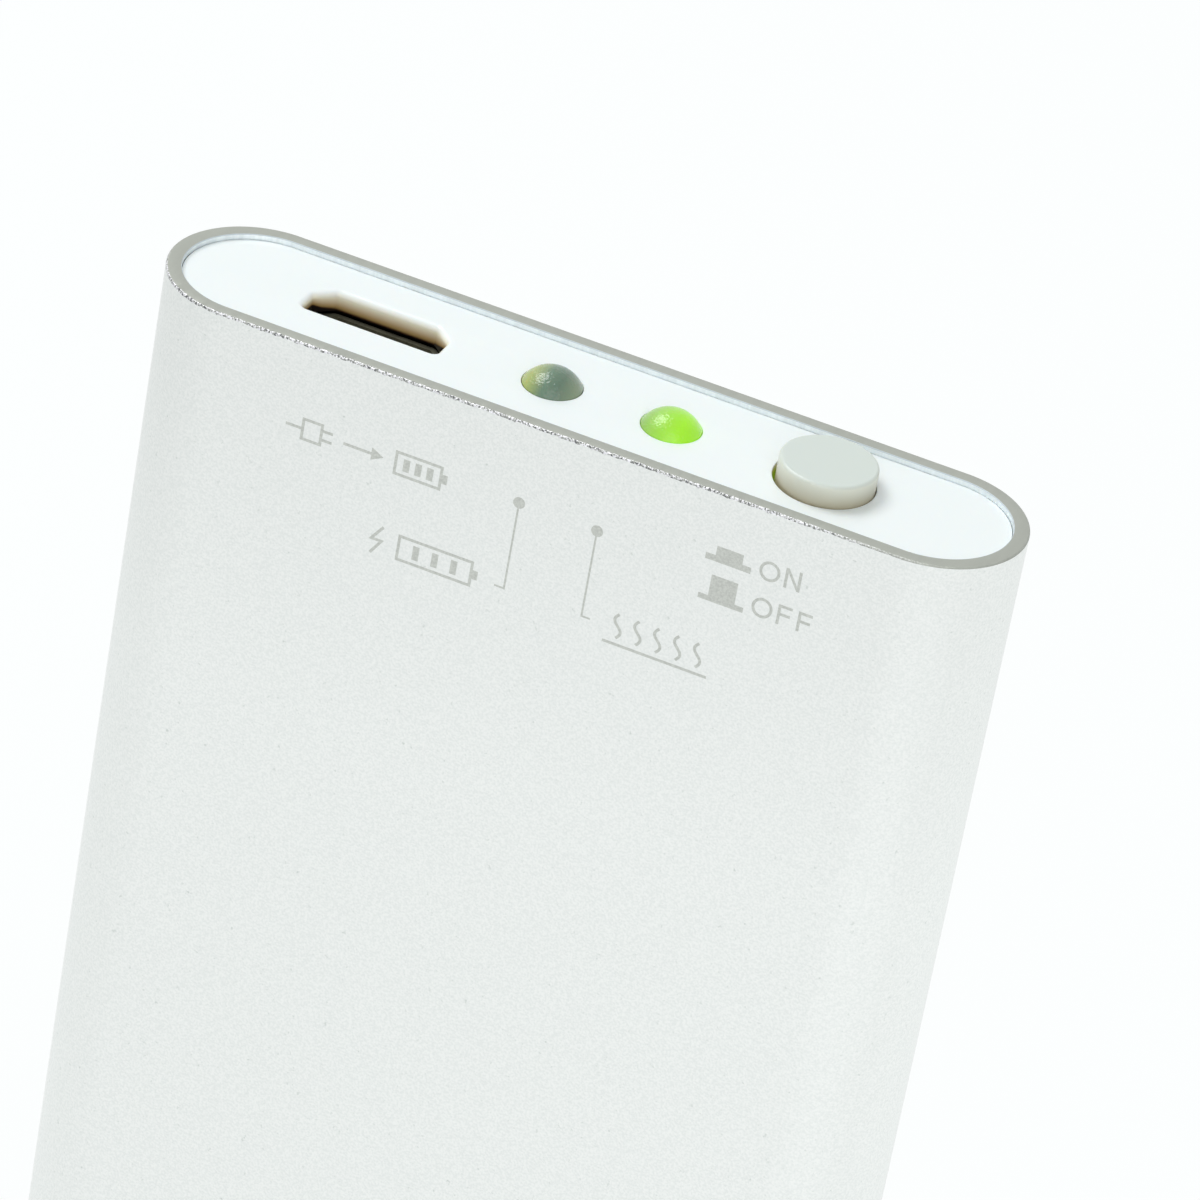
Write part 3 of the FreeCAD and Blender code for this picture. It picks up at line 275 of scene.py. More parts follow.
def feed(tree, socket, value):
    """Links a node's output to a socket, or sets the socket to a plain value."""
    if isinstance(value, bpy.types.NodeSocket):
        tree.links.new(value, socket)
    elif socket.type == "RGBA":
        socket.default_value = (*value, 1.0)
    else:
        socket.default_value = value


def add_node(tree, kind, **sockets):
    """A node whose sockets are fed by name, with underscores for spaces."""
    made = tree.nodes.new(kind)
    for name, value in sockets.items():
        feed(tree, made.inputs[name.replace("_", " ")], value)
    return made


def new_finish(name, **sockets):
    """A material with one principled shader. Returns the material, its tree and its shader."""
    finish = bpy.data.materials.new(name)
    finish.use_nodes = True
    tree = finish.node_tree
    tree.nodes.clear()
    shader = add_node(tree, "ShaderNodeBsdfPrincipled", **sockets)
    add_node(tree, "ShaderNodeOutputMaterial", Surface=shader.outputs["BSDF"])
    return finish, tree, shader


def place_of(tree):
    """The place on the piece, in metres."""
    return tree.nodes.new("ShaderNodeTexCoord").outputs["Object"]


def along(tree, axis):
    """The place on the piece along one axis."""
    return add_node(tree, "ShaderNodeSeparateXYZ", Vector=place_of(tree)).outputs[axis]


def span(tree, source, low, high):
    """A value carried from a range to 0 and 1."""
    return add_node(tree, "ShaderNodeMapRange", Value=source, From_Min=low, From_Max=high).outputs["Result"]


def grain(tree, size, detail=2.0, stretch=UNSTRETCHED):
    """Noise whose spots are about this size, and longer along an axis whose stretch is below 1."""
    mapping = add_node(tree, "ShaderNodeMapping", Vector=place_of(tree), Scale=stretch)
    spots = add_node(tree, "ShaderNodeTexNoise", Vector=mapping.outputs["Vector"], Scale=1 / size,
                     Detail=detail, Roughness=GRAIN_ROUGHNESS)
    return spots.outputs["Fac"]


def ramp(tree, source, stops):
    """Colours along a value, from (position, colour) pairs."""
    made = add_node(tree, "ShaderNodeValToRGB", Fac=source)
    made.color_ramp.elements[0].position = stops[0][0]
    made.color_ramp.elements[1].position = stops[-1][0]
    for position, _ in stops[1:-1]:
        made.color_ramp.elements.new(position)
    for element, (_, shade) in zip(made.color_ramp.elements, stops):
        element.color = (*shade, 1.0)
    return made.outputs["Color"]


def tones(group, stops):
    """Stops of a ramp, from the names of a group's colours and their positions."""
    return [(position, getattr(group, name)) for name, position in stops]


def mixed(tree, first, second, factor=1.0, mode="MIX"):
    """Two colours mixed by a share of the second one."""
    made = tree.nodes.new("ShaderNodeMix")
    made.data_type = "RGBA"
    made.blend_type = mode
    feed(tree, made.inputs["Factor"], factor)
    feed(tree, made.inputs[MIX_FIRST], first)
    feed(tree, made.inputs[MIX_SECOND], second)
    return made.outputs[MIX_RESULT]


def multiplied(tree, first, second):
    """Two colours multiplied."""
    return mixed(tree, first, second, mode="MULTIPLY")


def calculated(tree, operation, first, second):
    """Two values joined by an operation of the math node."""
    made = tree.nodes.new("ShaderNodeMath")
    made.operation = operation
    feed(tree, made.inputs[0], first)
    feed(tree, made.inputs[1], second)
    return made.outputs["Value"]


def relief(tree, shader, source, height, socket="Normal"):
    """Raises the surface by a value, up to a height."""
    bump = add_node(tree, "ShaderNodeBump", Strength=1.0, Distance=height, Height=source)
    feed(tree, shader.inputs[socket], bump.outputs["Normal"])


def shaders_mixed(tree, factor, first, second):
    """One shader that gives way to another as a value goes from 0 to 1."""
    made = add_node(tree, "ShaderNodeMixShader", Fac=factor)
    feed(tree, made.inputs[1], first)
    feed(tree, made.inputs[2], second)
    return made.outputs["Shader"]


# Finishes

# Shares of the range of a noise or a wave where one shade ends and the next begins
SPOT_DARK = 0.35
SPOT_LIGHT = 0.65
BAND_DARK = 0.45
BAND_LIGHT = 0.55
GRAIN_DARK = 0.36
GRAIN_LIGHT = 0.64
PIT_START = 0.66
PIT_END = 0.78
FLECK_STOPS = (("edge_dark", 0.38), ("rim_colour", 0.47), ("edge_light", 0.57))
# Pitch of the bands of a wave texture whose scale is 1
WAVE_PITCH = 0.314
# Share of the painted shade's length below the upper rim, from below, at which the painted shade is full
RIM_PAINTED_SHADE_FULL = 0.8
# Shares of the painted shade's depth at which an opening has each of the cap's colours, which below the
# surface are painted shade
CAP_PAINTED_SHADE_STOPS = (
    ("surface", 0.05), ("cream", 0.35), ("tan", 0.71), ("brown", 0.85), ("bottom", 0.96), ("dark", 1.0),
)
# Shares of the charging opening's width where its left corner ends and its straight walls begin and end
PORT_CORNER_END = 0.05
PORT_WALL_START = 0.14
PORT_WALL_END = 0.86
# Shares of the way from the lit lamp to the button's middle between which the moulding has a painted glow for
# the lamp's leaking light
LEAK_STOPS = ((0.0, BLACK), (0.02, WHITE), (0.7, WHITE), (0.9, BLACK))
# Lamp radii from the lit lamp's middle to where that way begins
LEAK_RADII = 1.1
# Shares of the painted shade's depth at which the painted glow begins and is full
LEAK_TOP = 0.15
LEAK_FULL = 0.5
# Shares of a lamp's width, from the left, at which it has each tint of painted light and shade
UNLIT_STOPS = (("unlit_glow", 0.18), ("unlit_middle", 0.48), ("unlit_deep", 0.72), ("unlit_edge", 0.95))
LIT_STOPS = (("lit_pale", 0.1), ("lit_bright", 0.75))


def mottled(name, light, dark, spots, height, stretch=UNSTRETCHED, **sockets):
    """A finish with spots of two shades and a fine relief."""
    finish, tree, shader = new_finish(name, **sockets)
    speckle = grain(tree, spots, stretch=stretch)
    shades = ramp(tree, speckle, [(SPOT_DARK, dark), (SPOT_LIGHT, light)])
    feed(tree, shader.inputs["Base Color"], shades)
    relief(tree, shader, speckle, height)
    return finish


def banded(name, light, dark, pitch, height, **sockets):
    """A finish with even bands across the width, such as tracks."""
    finish, tree, shader = new_finish(name, **sockets)
    wave = add_node(tree, "ShaderNodeTexWave", Vector=place_of(tree), Scale=WAVE_PITCH / pitch,
                    Distortion=0.0)
    wave.bands_direction = "X"
    bands = ramp(tree, wave.outputs["Fac"], [(BAND_DARK, dark), (BAND_LIGHT, light)])
    feed(tree, shader.inputs["Base Color"], bands)
    relief(tree, shader, wave.outputs["Fac"], height)
    return finish


def dress(finish, *nodes):
    """Gives CAD nodes their finish."""
    for node in nodes:
        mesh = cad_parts[node].data
        mesh.materials.clear()
        mesh.materials.append(finish)


def dress_plain(name, *nodes, light, dark, spots, height, stretch=UNSTRETCHED, **sockets):
    """Gives CAD nodes a mottled finish, from screen colours and sizes in millimetres."""
    dress(mottled(name, screen(*light), screen(*dark), spots * MM, height * MM, stretch, **sockets), *nodes)


def dress_banded(name, *nodes, light, dark, pitch, height, **sockets):
    """Gives CAD nodes a banded finish, from screen colours and sizes in millimetres."""
    dress(banded(name, screen(*light), screen(*dark), pitch * MM, height * MM, **sockets), *nodes)


def blasted_aluminium(tube):
    """Fine blasted and clear anodised metal: pale, satin, with a sparkling grain and a few deeper pits."""
    finish, tree, shader = new_finish("blasted_aluminium", Metallic=1.0, Roughness=0.46)
    fine = grain(tree, tube.grain_size, detail=1.5)
    faces = ramp(tree, fine, [(GRAIN_DARK, tube.face_dark), (GRAIN_LIGHT, tube.face_light)])
    coarse = grain(tree, tube.pit_size, detail=3.0)
    pits = ramp(tree, coarse, [(PIT_START, WHITE), (PIT_END, tube.pit_colour)])
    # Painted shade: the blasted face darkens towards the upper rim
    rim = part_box("shell")[1].z
    near_rim = span(tree, along(tree, "Z"), rim - tube.rim_painted_shade_length, rim)
    rim_painted_shade = ramp(tree, near_rim, [(0.0, WHITE), (RIM_PAINTED_SHADE_FULL, tube.rim_painted_shade_tint)])
    blasted = multiplied(tree, multiplied(tree, faces, pits), rim_painted_shade)
    feed(tree, shader.inputs["Base Color"], blasted)
    relief(tree, shader, fine, tube.grain_height)
    return finish


def cut_rim(tube):
    """The sawn end of the tube: flat grey with faint saw lines across the wall."""
    pale = Vector(tube.rim_colour)
    return mottled("cut_rim", light=pale * 1.02, dark=pale * 0.98, spots=0.4 * MM, height=0.003 * MM,
                   stretch=(1.0, 0.1, 1.0), Metallic=0.3, Roughness=0.55)


def inner_edge(tube):
    """The bluish deburred inner edge of the rim."""
    pale = Vector(tube.inner_colour)
    return mottled("inner_edge", light=pale, dark=pale * 0.92, spots=0.6 * MM, height=0.004 * MM,
                   Metallic=0.3, Roughness=0.6)


def broken_edge(tube):
    """The outer edge of the rim, broken by hand, which glitters."""
    finish, tree, shader = new_finish("broken_edge", Metallic=0.8, Roughness=0.35)
    flecks = grain(tree, tube.fleck_size, detail=3.0)
    shades = ramp(tree, flecks, tones(tube, FLECK_STOPS))
    rightwards = span(tree, along(tree, "X"), tube.burr_end - tube.burr_fade, tube.burr_end)
    backwards = span(tree, along(tree, "Y"), -tube.burr_turn, 0.0)
    for factor in (rightwards, backwards):
        shades = mixed(tree, shades, tube.rim_colour, factor)
    feed(tree, shader.inputs["Base Color"], shades)
    relief(tree, shader, flecks, tube.fleck_height)
    return finish


def drawn_aluminium(tube):
    """The inside of the tube, as it left the die, with lines along its length."""
    pale = Vector(tube.inside_light)
    return mottled("drawn_aluminium", light=pale, dark=pale * 0.9, spots=0.25 * MM, height=0.004 * MM,
                   stretch=(1.0, 1.0, 0.02), Metallic=1.0, Roughness=0.32)


def white_moulding(name, cap, face, inwards):
    """Glossy white plastic that lets a little light in, with painted shade that turns its openings warm and
    then dark with depth.
    """
    finish, tree, shader = new_finish(
        name, Roughness=0.3, Subsurface_Weight=0.2, Subsurface_Scale=0.5 * MM,
        Subsurface_Radius=(1.0, 0.8, 0.6), Coat_Weight=0.25, Coat_Roughness=0.12,
        Emission_Strength=cap.leak_strength)
    # Painted shade: the walls of the openings turn cream, tan, brown and dark with depth, sooner at the ends
    # of the charging opening
    depth = span(tree, along(tree, "Z"), face, face + inwards * cap.painted_shade_depth)
    outline = [point.x for point in port_outline(cap, -cap.port_lip)]
    beside_port = span(tree, along(tree, "X"), min(outline), max(outline))
    painted_shade_reach = [
        (0.0, [cap.painted_shade_left] * 3), (PORT_CORNER_END, [cap.painted_shade_corner] * 3), (PORT_WALL_START, WHITE),
        (PORT_WALL_END, WHITE), (1.0, [cap.painted_shade_right] * 3),
    ]
    painted_shade_share = calculated(tree, "DIVIDE", depth, ramp(tree, beside_port, painted_shade_reach))
    feed(tree, shader.inputs["Base Color"], ramp(tree, painted_shade_share, tones(cap, CAP_PAINTED_SHADE_STOPS)))
    # Painted glow: the moulding glows green low in the button's hole, for light of the lit lamp
    centre, radius = lamp_centre("warming_led")
    low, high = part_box("power_button")
    behind = span(tree, along(tree, "X"), centre.x + radius * LEAK_RADII, (low.x + high.x) / 2)
    beside = ramp(tree, behind, LEAK_STOPS)
    below = ramp(tree, depth, [(LEAK_TOP, BLACK), (LEAK_FULL, cap.leak)])
    feed(tree, shader.inputs["Emission Color"], multiplied(tree, beside, below))
    relief(tree, shader, grain(tree, size=0.2 * MM), height=0.001 * MM)
    return finish


def grey_moulding(button):
    """The button's light grey plastic, with a moulded satin and painted light and shade: light on top and
    high on its side, darker low on its side.
    """
    finish, tree, shader = new_finish(
        "grey_moulding", Roughness=0.34, Subsurface_Weight=0.15, Subsurface_Scale=0.5 * MM,
        Subsurface_Radius=(1.0, 0.9, 0.7))
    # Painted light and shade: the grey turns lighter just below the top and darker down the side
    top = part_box("power_button")[1].z
    depth = span(tree, along(tree, "Z"), top, top - button.lower_depth)
    side_start = button.upper_depth / button.lower_depth
    shades = ramp(tree, depth, tones(button, (("top", 0.0), ("upper", side_start), ("lower", 1.0))))
    feed(tree, shader.inputs["Base Color"], shades)
    relief(tree, shader, grain(tree, size=0.15 * MM), height=0.0015 * MM)
    return finish


def lamp_resin(name, node, stops, glow):
    """Frosted tinted resin, whose tint runs across the dome as painted light and shade."""
    lamp = settings().lamp
    finish, tree, shader = new_finish(
        name, Roughness=0.3, Coat_Weight=0.5, Coat_Roughness=0.08, IOR=1.45, Subsurface_Weight=0.2,
        Subsurface_Scale=0.5 * MM)
    centre, radius = lamp_centre(node)
    # Painted light and shade: the tint runs across the dome from left to right
    across = span(tree, along(tree, "X"), centre.x - radius, centre.x + radius)
    tint = ramp(tree, across, tones(lamp, stops))
    feed(tree, shader.inputs["Base Color"], tint)
    if glow > 0:
        feed(tree, shader.inputs["Emission Color"], tint)
        feed(tree, shader.inputs["Emission Strength"], glow)
    frost = grain(tree, lamp.frost_size, detail=0.5)
    relief(tree, shader, frost, lamp.frost_height)
    relief(tree, shader, frost, lamp.gloss_height, socket="Coat Normal")
    return finish


def printed_ink(front_print):
    """Grey ink in two close shades, as the metal's grain shows through it."""
    ink = Vector(front_print.ink)
    return mottled("printed_ink", light=ink * 1.09, dark=ink * 0.89, spots=0.12 * MM, height=0.004 * MM,
                   Roughness=0.6)


# Meshes

CIRCLE_STEPS = 96
CORNER_STEPS = 10
SIDE_STEPS = 16
EDGE_STEPS = 8
CAP_SIDE_STEPS = 120
CAP_END_STEPS = 64
CAP_SHARP_DEGREES = 40.0


def show(name, mesh, sharp_degrees):
    """Puts a mesh in the scene as an object, with smooth shading up to an angle."""
    mesh.shade_smooth()
    mesh.set_sharp_from_angle(angle=math.radians(sharp_degrees))
    piece = bpy.data.objects.new(name, mesh)
    bpy.context.scene.collection.objects.link(piece)
    return piece


def add_piece(name, vertices, faces, finishes, indices=None, sharp_degrees=35.0):
    """An object from vertices and faces, and from each face's finish where there are several."""
    mesh = bpy.data.meshes.new(name)
    mesh.from_pydata(vertices, [], faces)
    for finish in finishes:
        mesh.materials.append(finish)
    if indices:
        mesh.polygons.foreach_set("material_index", indices)
    mesh.validate()
    return show(name, mesh, sharp_degrees)


def favour_flat_faces(piece):
    """Keeps the shading of flat faces flat beside their rounded edges."""
    weighted = piece.modifiers.new("flat_faces_first", "WEIGHTED_NORMAL")
    weighted.keep_sharp = True


def oval(width, depth, side_steps, end_steps):
    """Points round a flat oval, from the left end of its front side."""
    radius = depth / 2
    reach = width / 2 - radius
    points = []
    for step in range(side_steps):
        points.append(Vector((-reach + 2 * reach * step / side_steps, -radius)))
    for step in range(end_steps):
        angle = math.pi * step / end_steps
        points.append(Vector((reach + radius * math.sin(angle), -radius * math.cos(angle))))
    return points + [-point for point in points]


def circle(centre, radius):
    """Points round a circle."""
    angles = [2 * math.pi * step / CIRCLE_STEPS for step in range(CIRCLE_STEPS)]
    return [Vector((centre.x + radius * math.cos(a), centre.y + radius * math.sin(a))) for a in angles]


def grown_circle(centre, radius):
    """A circle by how far it is grown."""
    return lambda growth: circle(centre, radius + growth)


def rounded(corners, radius):
    """The points of a polygon with its corners rounded, for corners that run anticlockwise."""
    arcs = []
    count = len(corners)
    for number, corner in enumerate(corners):
        back = (corners[number - 1] - corner).normalized()
        ahead = (corners[(number + 1) % count] - corner).normalized()
        half = back.angle(ahead) / 2
        centre = corner + (back + ahead).normalized() * radius / math.sin(half)
        start = corner + back * radius / math.tan(half) - centre
        turns = [(math.pi - 2 * half) * step / CORNER_STEPS for step in range(CORNER_STEPS + 1)]
        arcs.append([centre + Matrix.Rotation(turn, 2) @ start for turn in turns])
    points = []
    for arc, following in zip(arcs, arcs[1:] + arcs[:1]):
        points += arc
        points += [arc[-1].lerp(following[0], step / SIDE_STEPS) for step in range(1, SIDE_STEPS)]
    return points


def port_outline(cap, offset):
    """The charging opening, with two cut-off corners at the back, grown by an offset."""
    low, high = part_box("jack_shell")
    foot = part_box("jack_contacts")
    middle = (foot[0].x + foot[1].x) / 2
    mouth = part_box("jack_tongue")
    wall = (high.y - low.y - (mouth[1].y - mouth[0].y)) / 2
    half_width = (mouth[1].x - mouth[0].x) / 2 + wall + offset
    front, back = low.y - offset, high.y + offset
    chamfer = cap.port_chamfer + (2 - math.sqrt(2)) * offset
    corners = [
        (-half_width, front),
        (half_width, front),
        (half_width, back - chamfer),
        (half_width - chamfer, back),
        (chamfer - half_width, back),
        (-half_width, back - chamfer),
    ]
    return rounded([Vector((middle + x, y)) for x, y in corners], cap.port_corner + offset)


def lamp_centre(node):
    """The middle of a lamp and its radius, from its round flange."""
    low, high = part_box(node)
    flange = (high.y - low.y) / 2
    return Vector((low.x + flange, 0.0)), flange - settings().cap.lamp_rim


def add_plate(work, edges, thickness, face):
    """A flat plate. Each edge is an outline by its distance into the plate, and its rounding's radius."""
    angles = [math.pi / 2 * step / EDGE_STEPS for step in range(EDGE_STEPS + 1)]
    upper, lower = [], []
    for outline, turn in edges:
        rows = [(turn * (1 - math.sin(angle)), turn * (1 - math.cos(angle))) for angle in angles]
        rows.append((0.0, thickness))
        loops = [[work.verts.new((p.x, p.y, face - drop)) for p in outline(inset)] for inset, drop in rows]
        for first, second in zip(loops, loops[1:]):
            for step in range(len(first)):
                work.faces.new((first[step - 1], first[step], second[step], second[step - 1]))
        upper.append(loops[0])
        lower.append(loops[-1])
    for loops in (upper, lower):
        corners = [vert for loop in loops for vert in loop]
        # In millimetres, which keeps the numbers that the function works with near one
        for triangle in tessellate_polygon([[vert.co / MM for vert in loop] for loop in loops]):
            work.faces.new([corners[number] for number in triangle])


def add_ring(work, outer, inner, low, high):
    """A closed band between two outlines with as many points, from one height to another."""
    section = ((inner, low), (inner, high), (outer, high), (outer, low))
    loops = [[work.verts.new((p.x, p.y, z)) for p in line] for line, z in section]
    count = len(outer)
    for first, second in zip(loops, loops[1:] + loops[:1]):
        for step in range(count):
            following = (step + 1) % count
            work.faces.new((first[step], first[following], second[following], second[step]))


def add_snap_arms(work, cap, half_width, skirt_end):
    """The two spring arms below a cap's skirt, each with a barb that faces outwards."""
    outer = half_width - cap.arm_inset
    inner = outer - cap.arm_thick
    tip = skirt_end - cap.arm_length
    catch = tip + cap.barb_height
    root = skirt_end + cap.skirt_length
    half_arm = cap.arm_width / 2
    profile = [
        (inner, root), (inner, tip), (outer, tip),
        (outer + cap.barb, catch), (outer, catch), (outer, root),
    ]
    for side in (-1, 1):
        loops = [[work.verts.new((side * x, y, z)) for x, z in profile] for y in (-half_arm, half_arm)]
        work.faces.new(loops[0])
        work.faces.new(loops[1])
        for step in range(len(profile)):
            work.faces.new((loops[0][step - 1], loops[0][step], loops[1][step], loops[1][step - 1]))


def moulded_cap(name, node, openings, collars, upside_down):
    """A cap with rounded edges that stands for its CAD node."""
    cap = settings().cap
    low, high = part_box(node)
    outside, inwards = (low.z, 1) if upside_down else (high.z, -1)
    face = -low.z if upside_down else high.z
    width = high.x - low.x + 2 * cap.spread
    depth = high.y - low.y + 2 * cap.spread

    def outline(inset):
        """The cap's outline, this far inside its edge."""
        return oval(width - 2 * inset, depth - 2 * inset, CAP_SIDE_STEPS, CAP_END_STEPS)

    work = bmesh.new()
    add_plate(work, [(outline, cap.rim_round)] + openings, cap.plate, face)
    under = face - cap.plate
    skirt_end = under - cap.skirt_length
    add_ring(work, outline(0.0), outline(cap.skirt_wall), skirt_end, under)
    for centre, radius in collars:
        collar = circle(centre, radius + cap.collar_wall)
        add_ring(work, collar, circle(centre, radius), under - cap.collar_length, under)
    add_snap_arms(work, cap, width / 2, skirt_end)
    if upside_down:
        half_turn = Matrix.Rotation(math.pi, 3, "X")
        bmesh.ops.rotate(work, verts=work.verts, cent=(0.0, 0.0, 0.0), matrix=half_turn)
    bmesh.ops.recalc_face_normals(work, faces=work.faces)
    mesh = bpy.data.meshes.new(name)
    work.to_mesh(mesh)
    work.free()
    mesh.materials.append(white_moulding(name, cap, outside, inwards))
    piece = show(name, mesh, CAP_SHARP_DEGREES)
    favour_flat_faces(piece)
    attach(piece, "body")
    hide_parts(node)


# Print

RING_STEPS = 40
DOT_STEPS = 32
# Shares of a letter's height
O_WIDTH = 0.98
N_WIDTH = 0.76
F_WIDTH = 0.66
F_BAR_HEIGHT = 0.52
# Share of the F's width
F_BAR_LENGTH = 0.9
# Height of the N's slanting line at its ends, in strokes
N_SLANT = 1.7


class Ink:
    """Collects flat printed shapes on the front face, in places across and up."""

    def __init__(self, front, lift):
        self.front = front
        self.lift = lift
        self.vertices = []
        self.faces = []

    def patch(self, outline):
        """A filled convex outline, with sides down into the metal."""
        start = len(self.vertices)
        count = len(outline)
        under = start + count
        for y in (self.front - self.lift, self.front + self.lift):
            self.vertices += [(x, y, z) for x, z in outline]
        self.faces.append([start + step for step in range(count)])
        self.faces.append([under + step for step in reversed(range(count))])
        for step in range(count):
            following = (step + 1) % count
            self.faces.append([start + following, start + step, under + step, under + following])

    def line(self, points, width, closed=False):
        """Straight bars from point to point, with mitred corners and square ends."""
        points = [Vector(point) for point in points]
        if closed:
            points.append(points[0])
        ways = [(b - a).normalized() for a, b in zip(points, points[1:])]
        first, last = (ways[-1:], ways[:1]) if closed else (ways[:1], ways[-1:])
        sides = []
        for before, after in zip(first + ways, ways + last):
            mitre = Vector((-before.y - after.y, before.x + after.x))
            sides.append(mitre * width / 2 / (1 + before.dot(after)))
        for number in range(len(ways)):
            a, b = points[number], points[number + 1]
            self.patch([a - sides[number], b - sides[number + 1], b + sides[number + 1], a + sides[number]])

    def ring(self, centre, radii, width):
        """An oval line."""
        centre = Vector(centre)
        outer, inner = [], []
        for step in range(RING_STEPS + 1):
            angle = 2 * math.pi * step / RING_STEPS
            way = Vector((math.cos(angle), math.sin(angle)))
            outer.append(centre + Vector((radii[0] * way.x, radii[1] * way.y)))
            inner.append(centre + Vector(((radii[0] - width) * way.x, (radii[1] - width) * way.y)))
        for step in range(RING_STEPS):
            self.patch([inner[step], outer[step], outer[step + 1], inner[step + 1]])

    def dot(self, centre, diameter):
        """A filled round spot."""
        centre = Vector(centre)
        angles = [2 * math.pi * step / DOT_STEPS for step in range(DOT_STEPS)]
        self.patch([centre + Vector((math.cos(a), math.sin(a))) * diameter / 2 for a in angles])


def draw_letter_o(ink, x, z, height, stroke):
    """A round O that starts at a place on the base line. Returns where it ends."""
    width = height * O_WIDTH
    ink.ring((x + width / 2, z + height / 2), (width / 2, height / 2), stroke)
    return x + width


def draw_letter_n(ink, x, z, height, stroke):
    """An N."""
    width = height * N_WIDTH
    half = stroke / 2
    for middle in (x + half, x + width - half):
        ink.line([(middle, z), (middle, z + height)], stroke)
    left, right, thick = x + stroke, x + width - stroke, stroke * N_SLANT
    ink.patch([(left, z + height - thick), (right, z), (right, z + thick), (left, z + height)])
    return x + width


def draw_letter_f(ink, x, z, height, stroke):
    """An F."""
    width = height * F_WIDTH
    half = stroke / 2
    top = z + height - half
    bar = z + height * F_BAR_HEIGHT
    ink.line([(x + half, z), (x + half, z + height)], stroke)
    ink.line([(x + stroke, top), (x + width, top)], stroke)
    ink.line([(x + stroke, bar), (x + width * F_BAR_LENGTH, bar)], stroke)
    return x + width


LETTERS = {"O": draw_letter_o, "N": draw_letter_n, "F": draw_letter_f}


# Operators

class TubeOperator(bpy.types.Operator):
    """Builds the aluminium tube with its sawn rims"""
    bl_idname = "hand_warmer.tube"
    bl_label = "Tube"

    BLASTED, RIM, EDGE, INNER, DRAWN = range(5)
    WALL_STEPS = 24
    ROUND_STEPS = 4
    SHARP_DEGREES = 30.0
    # Level and swing of the roughness along the edge, and how much finer its second swing and the burrs are
    ROUGH_LEVEL = 0.5
    COARSE_SWING = 0.6
    FINE_SWING = 0.5
    FINE_SCALE = 2.7
    BURR_SCALE = 1.7

    def execute(self, context):
        """Sweeps the wall's section round the oval."""
        tube = settings().tube
        low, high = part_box("shell")
        width, depth, top = high.x - low.x, high.y - low.y, high.z
        side_steps = round((width - depth) / tube.column_step)
        end_steps = round(math.pi * depth / 2 / tube.column_step)
        outer = oval(width, depth, side_steps, end_steps)
        inner = oval(width - 2 * tube.end_wall, depth - 2 * tube.side_wall, side_steps, end_steps)
        upper, kinds = self.rim_rows(tube)
        wall_heights = [top * (1 - step / self.WALL_STEPS) for step in range(1, self.WALL_STEPS)]
        vertices = []
        for inside, outside in zip(inner, outer):
            vertices += [self.place(tube, row, inside, outside, top, -1) for row in upper]
            vertices += [(outside.x, outside.y, height) for height in wall_heights]
            vertices += [self.place(tube, row, inside, outside, 0.0, 1) for row in reversed(upper)]
        kinds = kinds + [self.BLASTED] * len(wall_heights) + kinds[-2::-1] + [self.DRAWN]
        columns, deep = len(outer), len(kinds)
        faces, indices = [], []
        for number in range(columns):
            here, there = number * deep, (number + 1) % columns * deep
            for row in range(deep):
                following = (row + 1) % deep
                faces.append((here + row, here + following, there + following, there + row))
                indices.append(kinds[row])
        makers = (blasted_aluminium, cut_rim, broken_edge, inner_edge, drawn_aluminium)
        finishes = [maker(tube) for maker in makers]
        piece = add_piece("tube", vertices, faces, finishes, indices, self.SHARP_DEGREES)
        favour_flat_faces(piece)
        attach(piece, "body")
        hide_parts("shell")
        return {"FINISHED"}

    def rim_rows(self, tube):
        """The section of a rim from its inside to its outside, and the finish of each strip that follows.

        A row holds which side it is measured from, its inset, its drop below the rim, and its shares of the
        nicks and of the broken edge.
        """
        turns = []
        for step in range(self.ROUND_STEPS + 1):
            angle = math.pi / 2 * step / self.ROUND_STEPS
            turns.append((math.cos(angle), math.sin(angle)))
        rows, kinds = [], []
        for cosine, sine in turns:
            rows.append((True, tube.inner_round * (1 - cosine), tube.inner_round * (1 - sine), 0.0, 0.0))
            kinds.append(self.INNER)
        kinds[-1] = self.RIM
        for cosine, sine in turns:
            rows.append((False, tube.rim_round * (1 - sine), tube.rim_round * (1 - cosine), sine, 0.0))
            kinds.append(self.EDGE)
        rows.append((False, 0.0, tube.rim_round, 0.0, 1.0))
        kinds.append(self.BLASTED)
        return rows, kinds

    def place(self, tube, row, inside, outside, level, way):
        """A point of a rim's section at one place round the oval."""
        from_inside, inset, drop, nick_share, burr_share = row
        across = outside - inside
        wall = across.length
        along_edge = Vector((outside.x, outside.y, level)) / tube.nick_length
        broken = self.burr(tube, outside)
        nick = nick_share * broken * self.roughness(along_edge) * tube.nick_depth
        burr = burr_share * broken * self.roughness(along_edge * self.BURR_SCALE) * tube.burr_height
        reach = inset if from_inside else wall - inset - nick
        place = inside + across * (reach / wall)
        return (place.x, place.y, level + way * (drop + nick + burr))

    def burr(self, tube, outside):
        """How much of the edge is broken, from nought to one, at a place round the tube."""
        right = (tube.burr_end - outside.x) / tube.burr_fade
        left = (outside.x + tube.burr_start) / tube.burr_rise
        front = -outside.y / tube.burr_turn
        return min(max(min(left, right, front), 0.0), 1.0)

    def roughness(self, along_edge):
        """Uneven values from nought to about one along the edge."""
        coarse = self.COARSE_SWING * noise.noise(along_edge)
        fine = self.FINE_SWING * noise.noise(along_edge * self.FINE_SCALE)
        return max(0.0, self.ROUGH_LEVEL + coarse + fine)


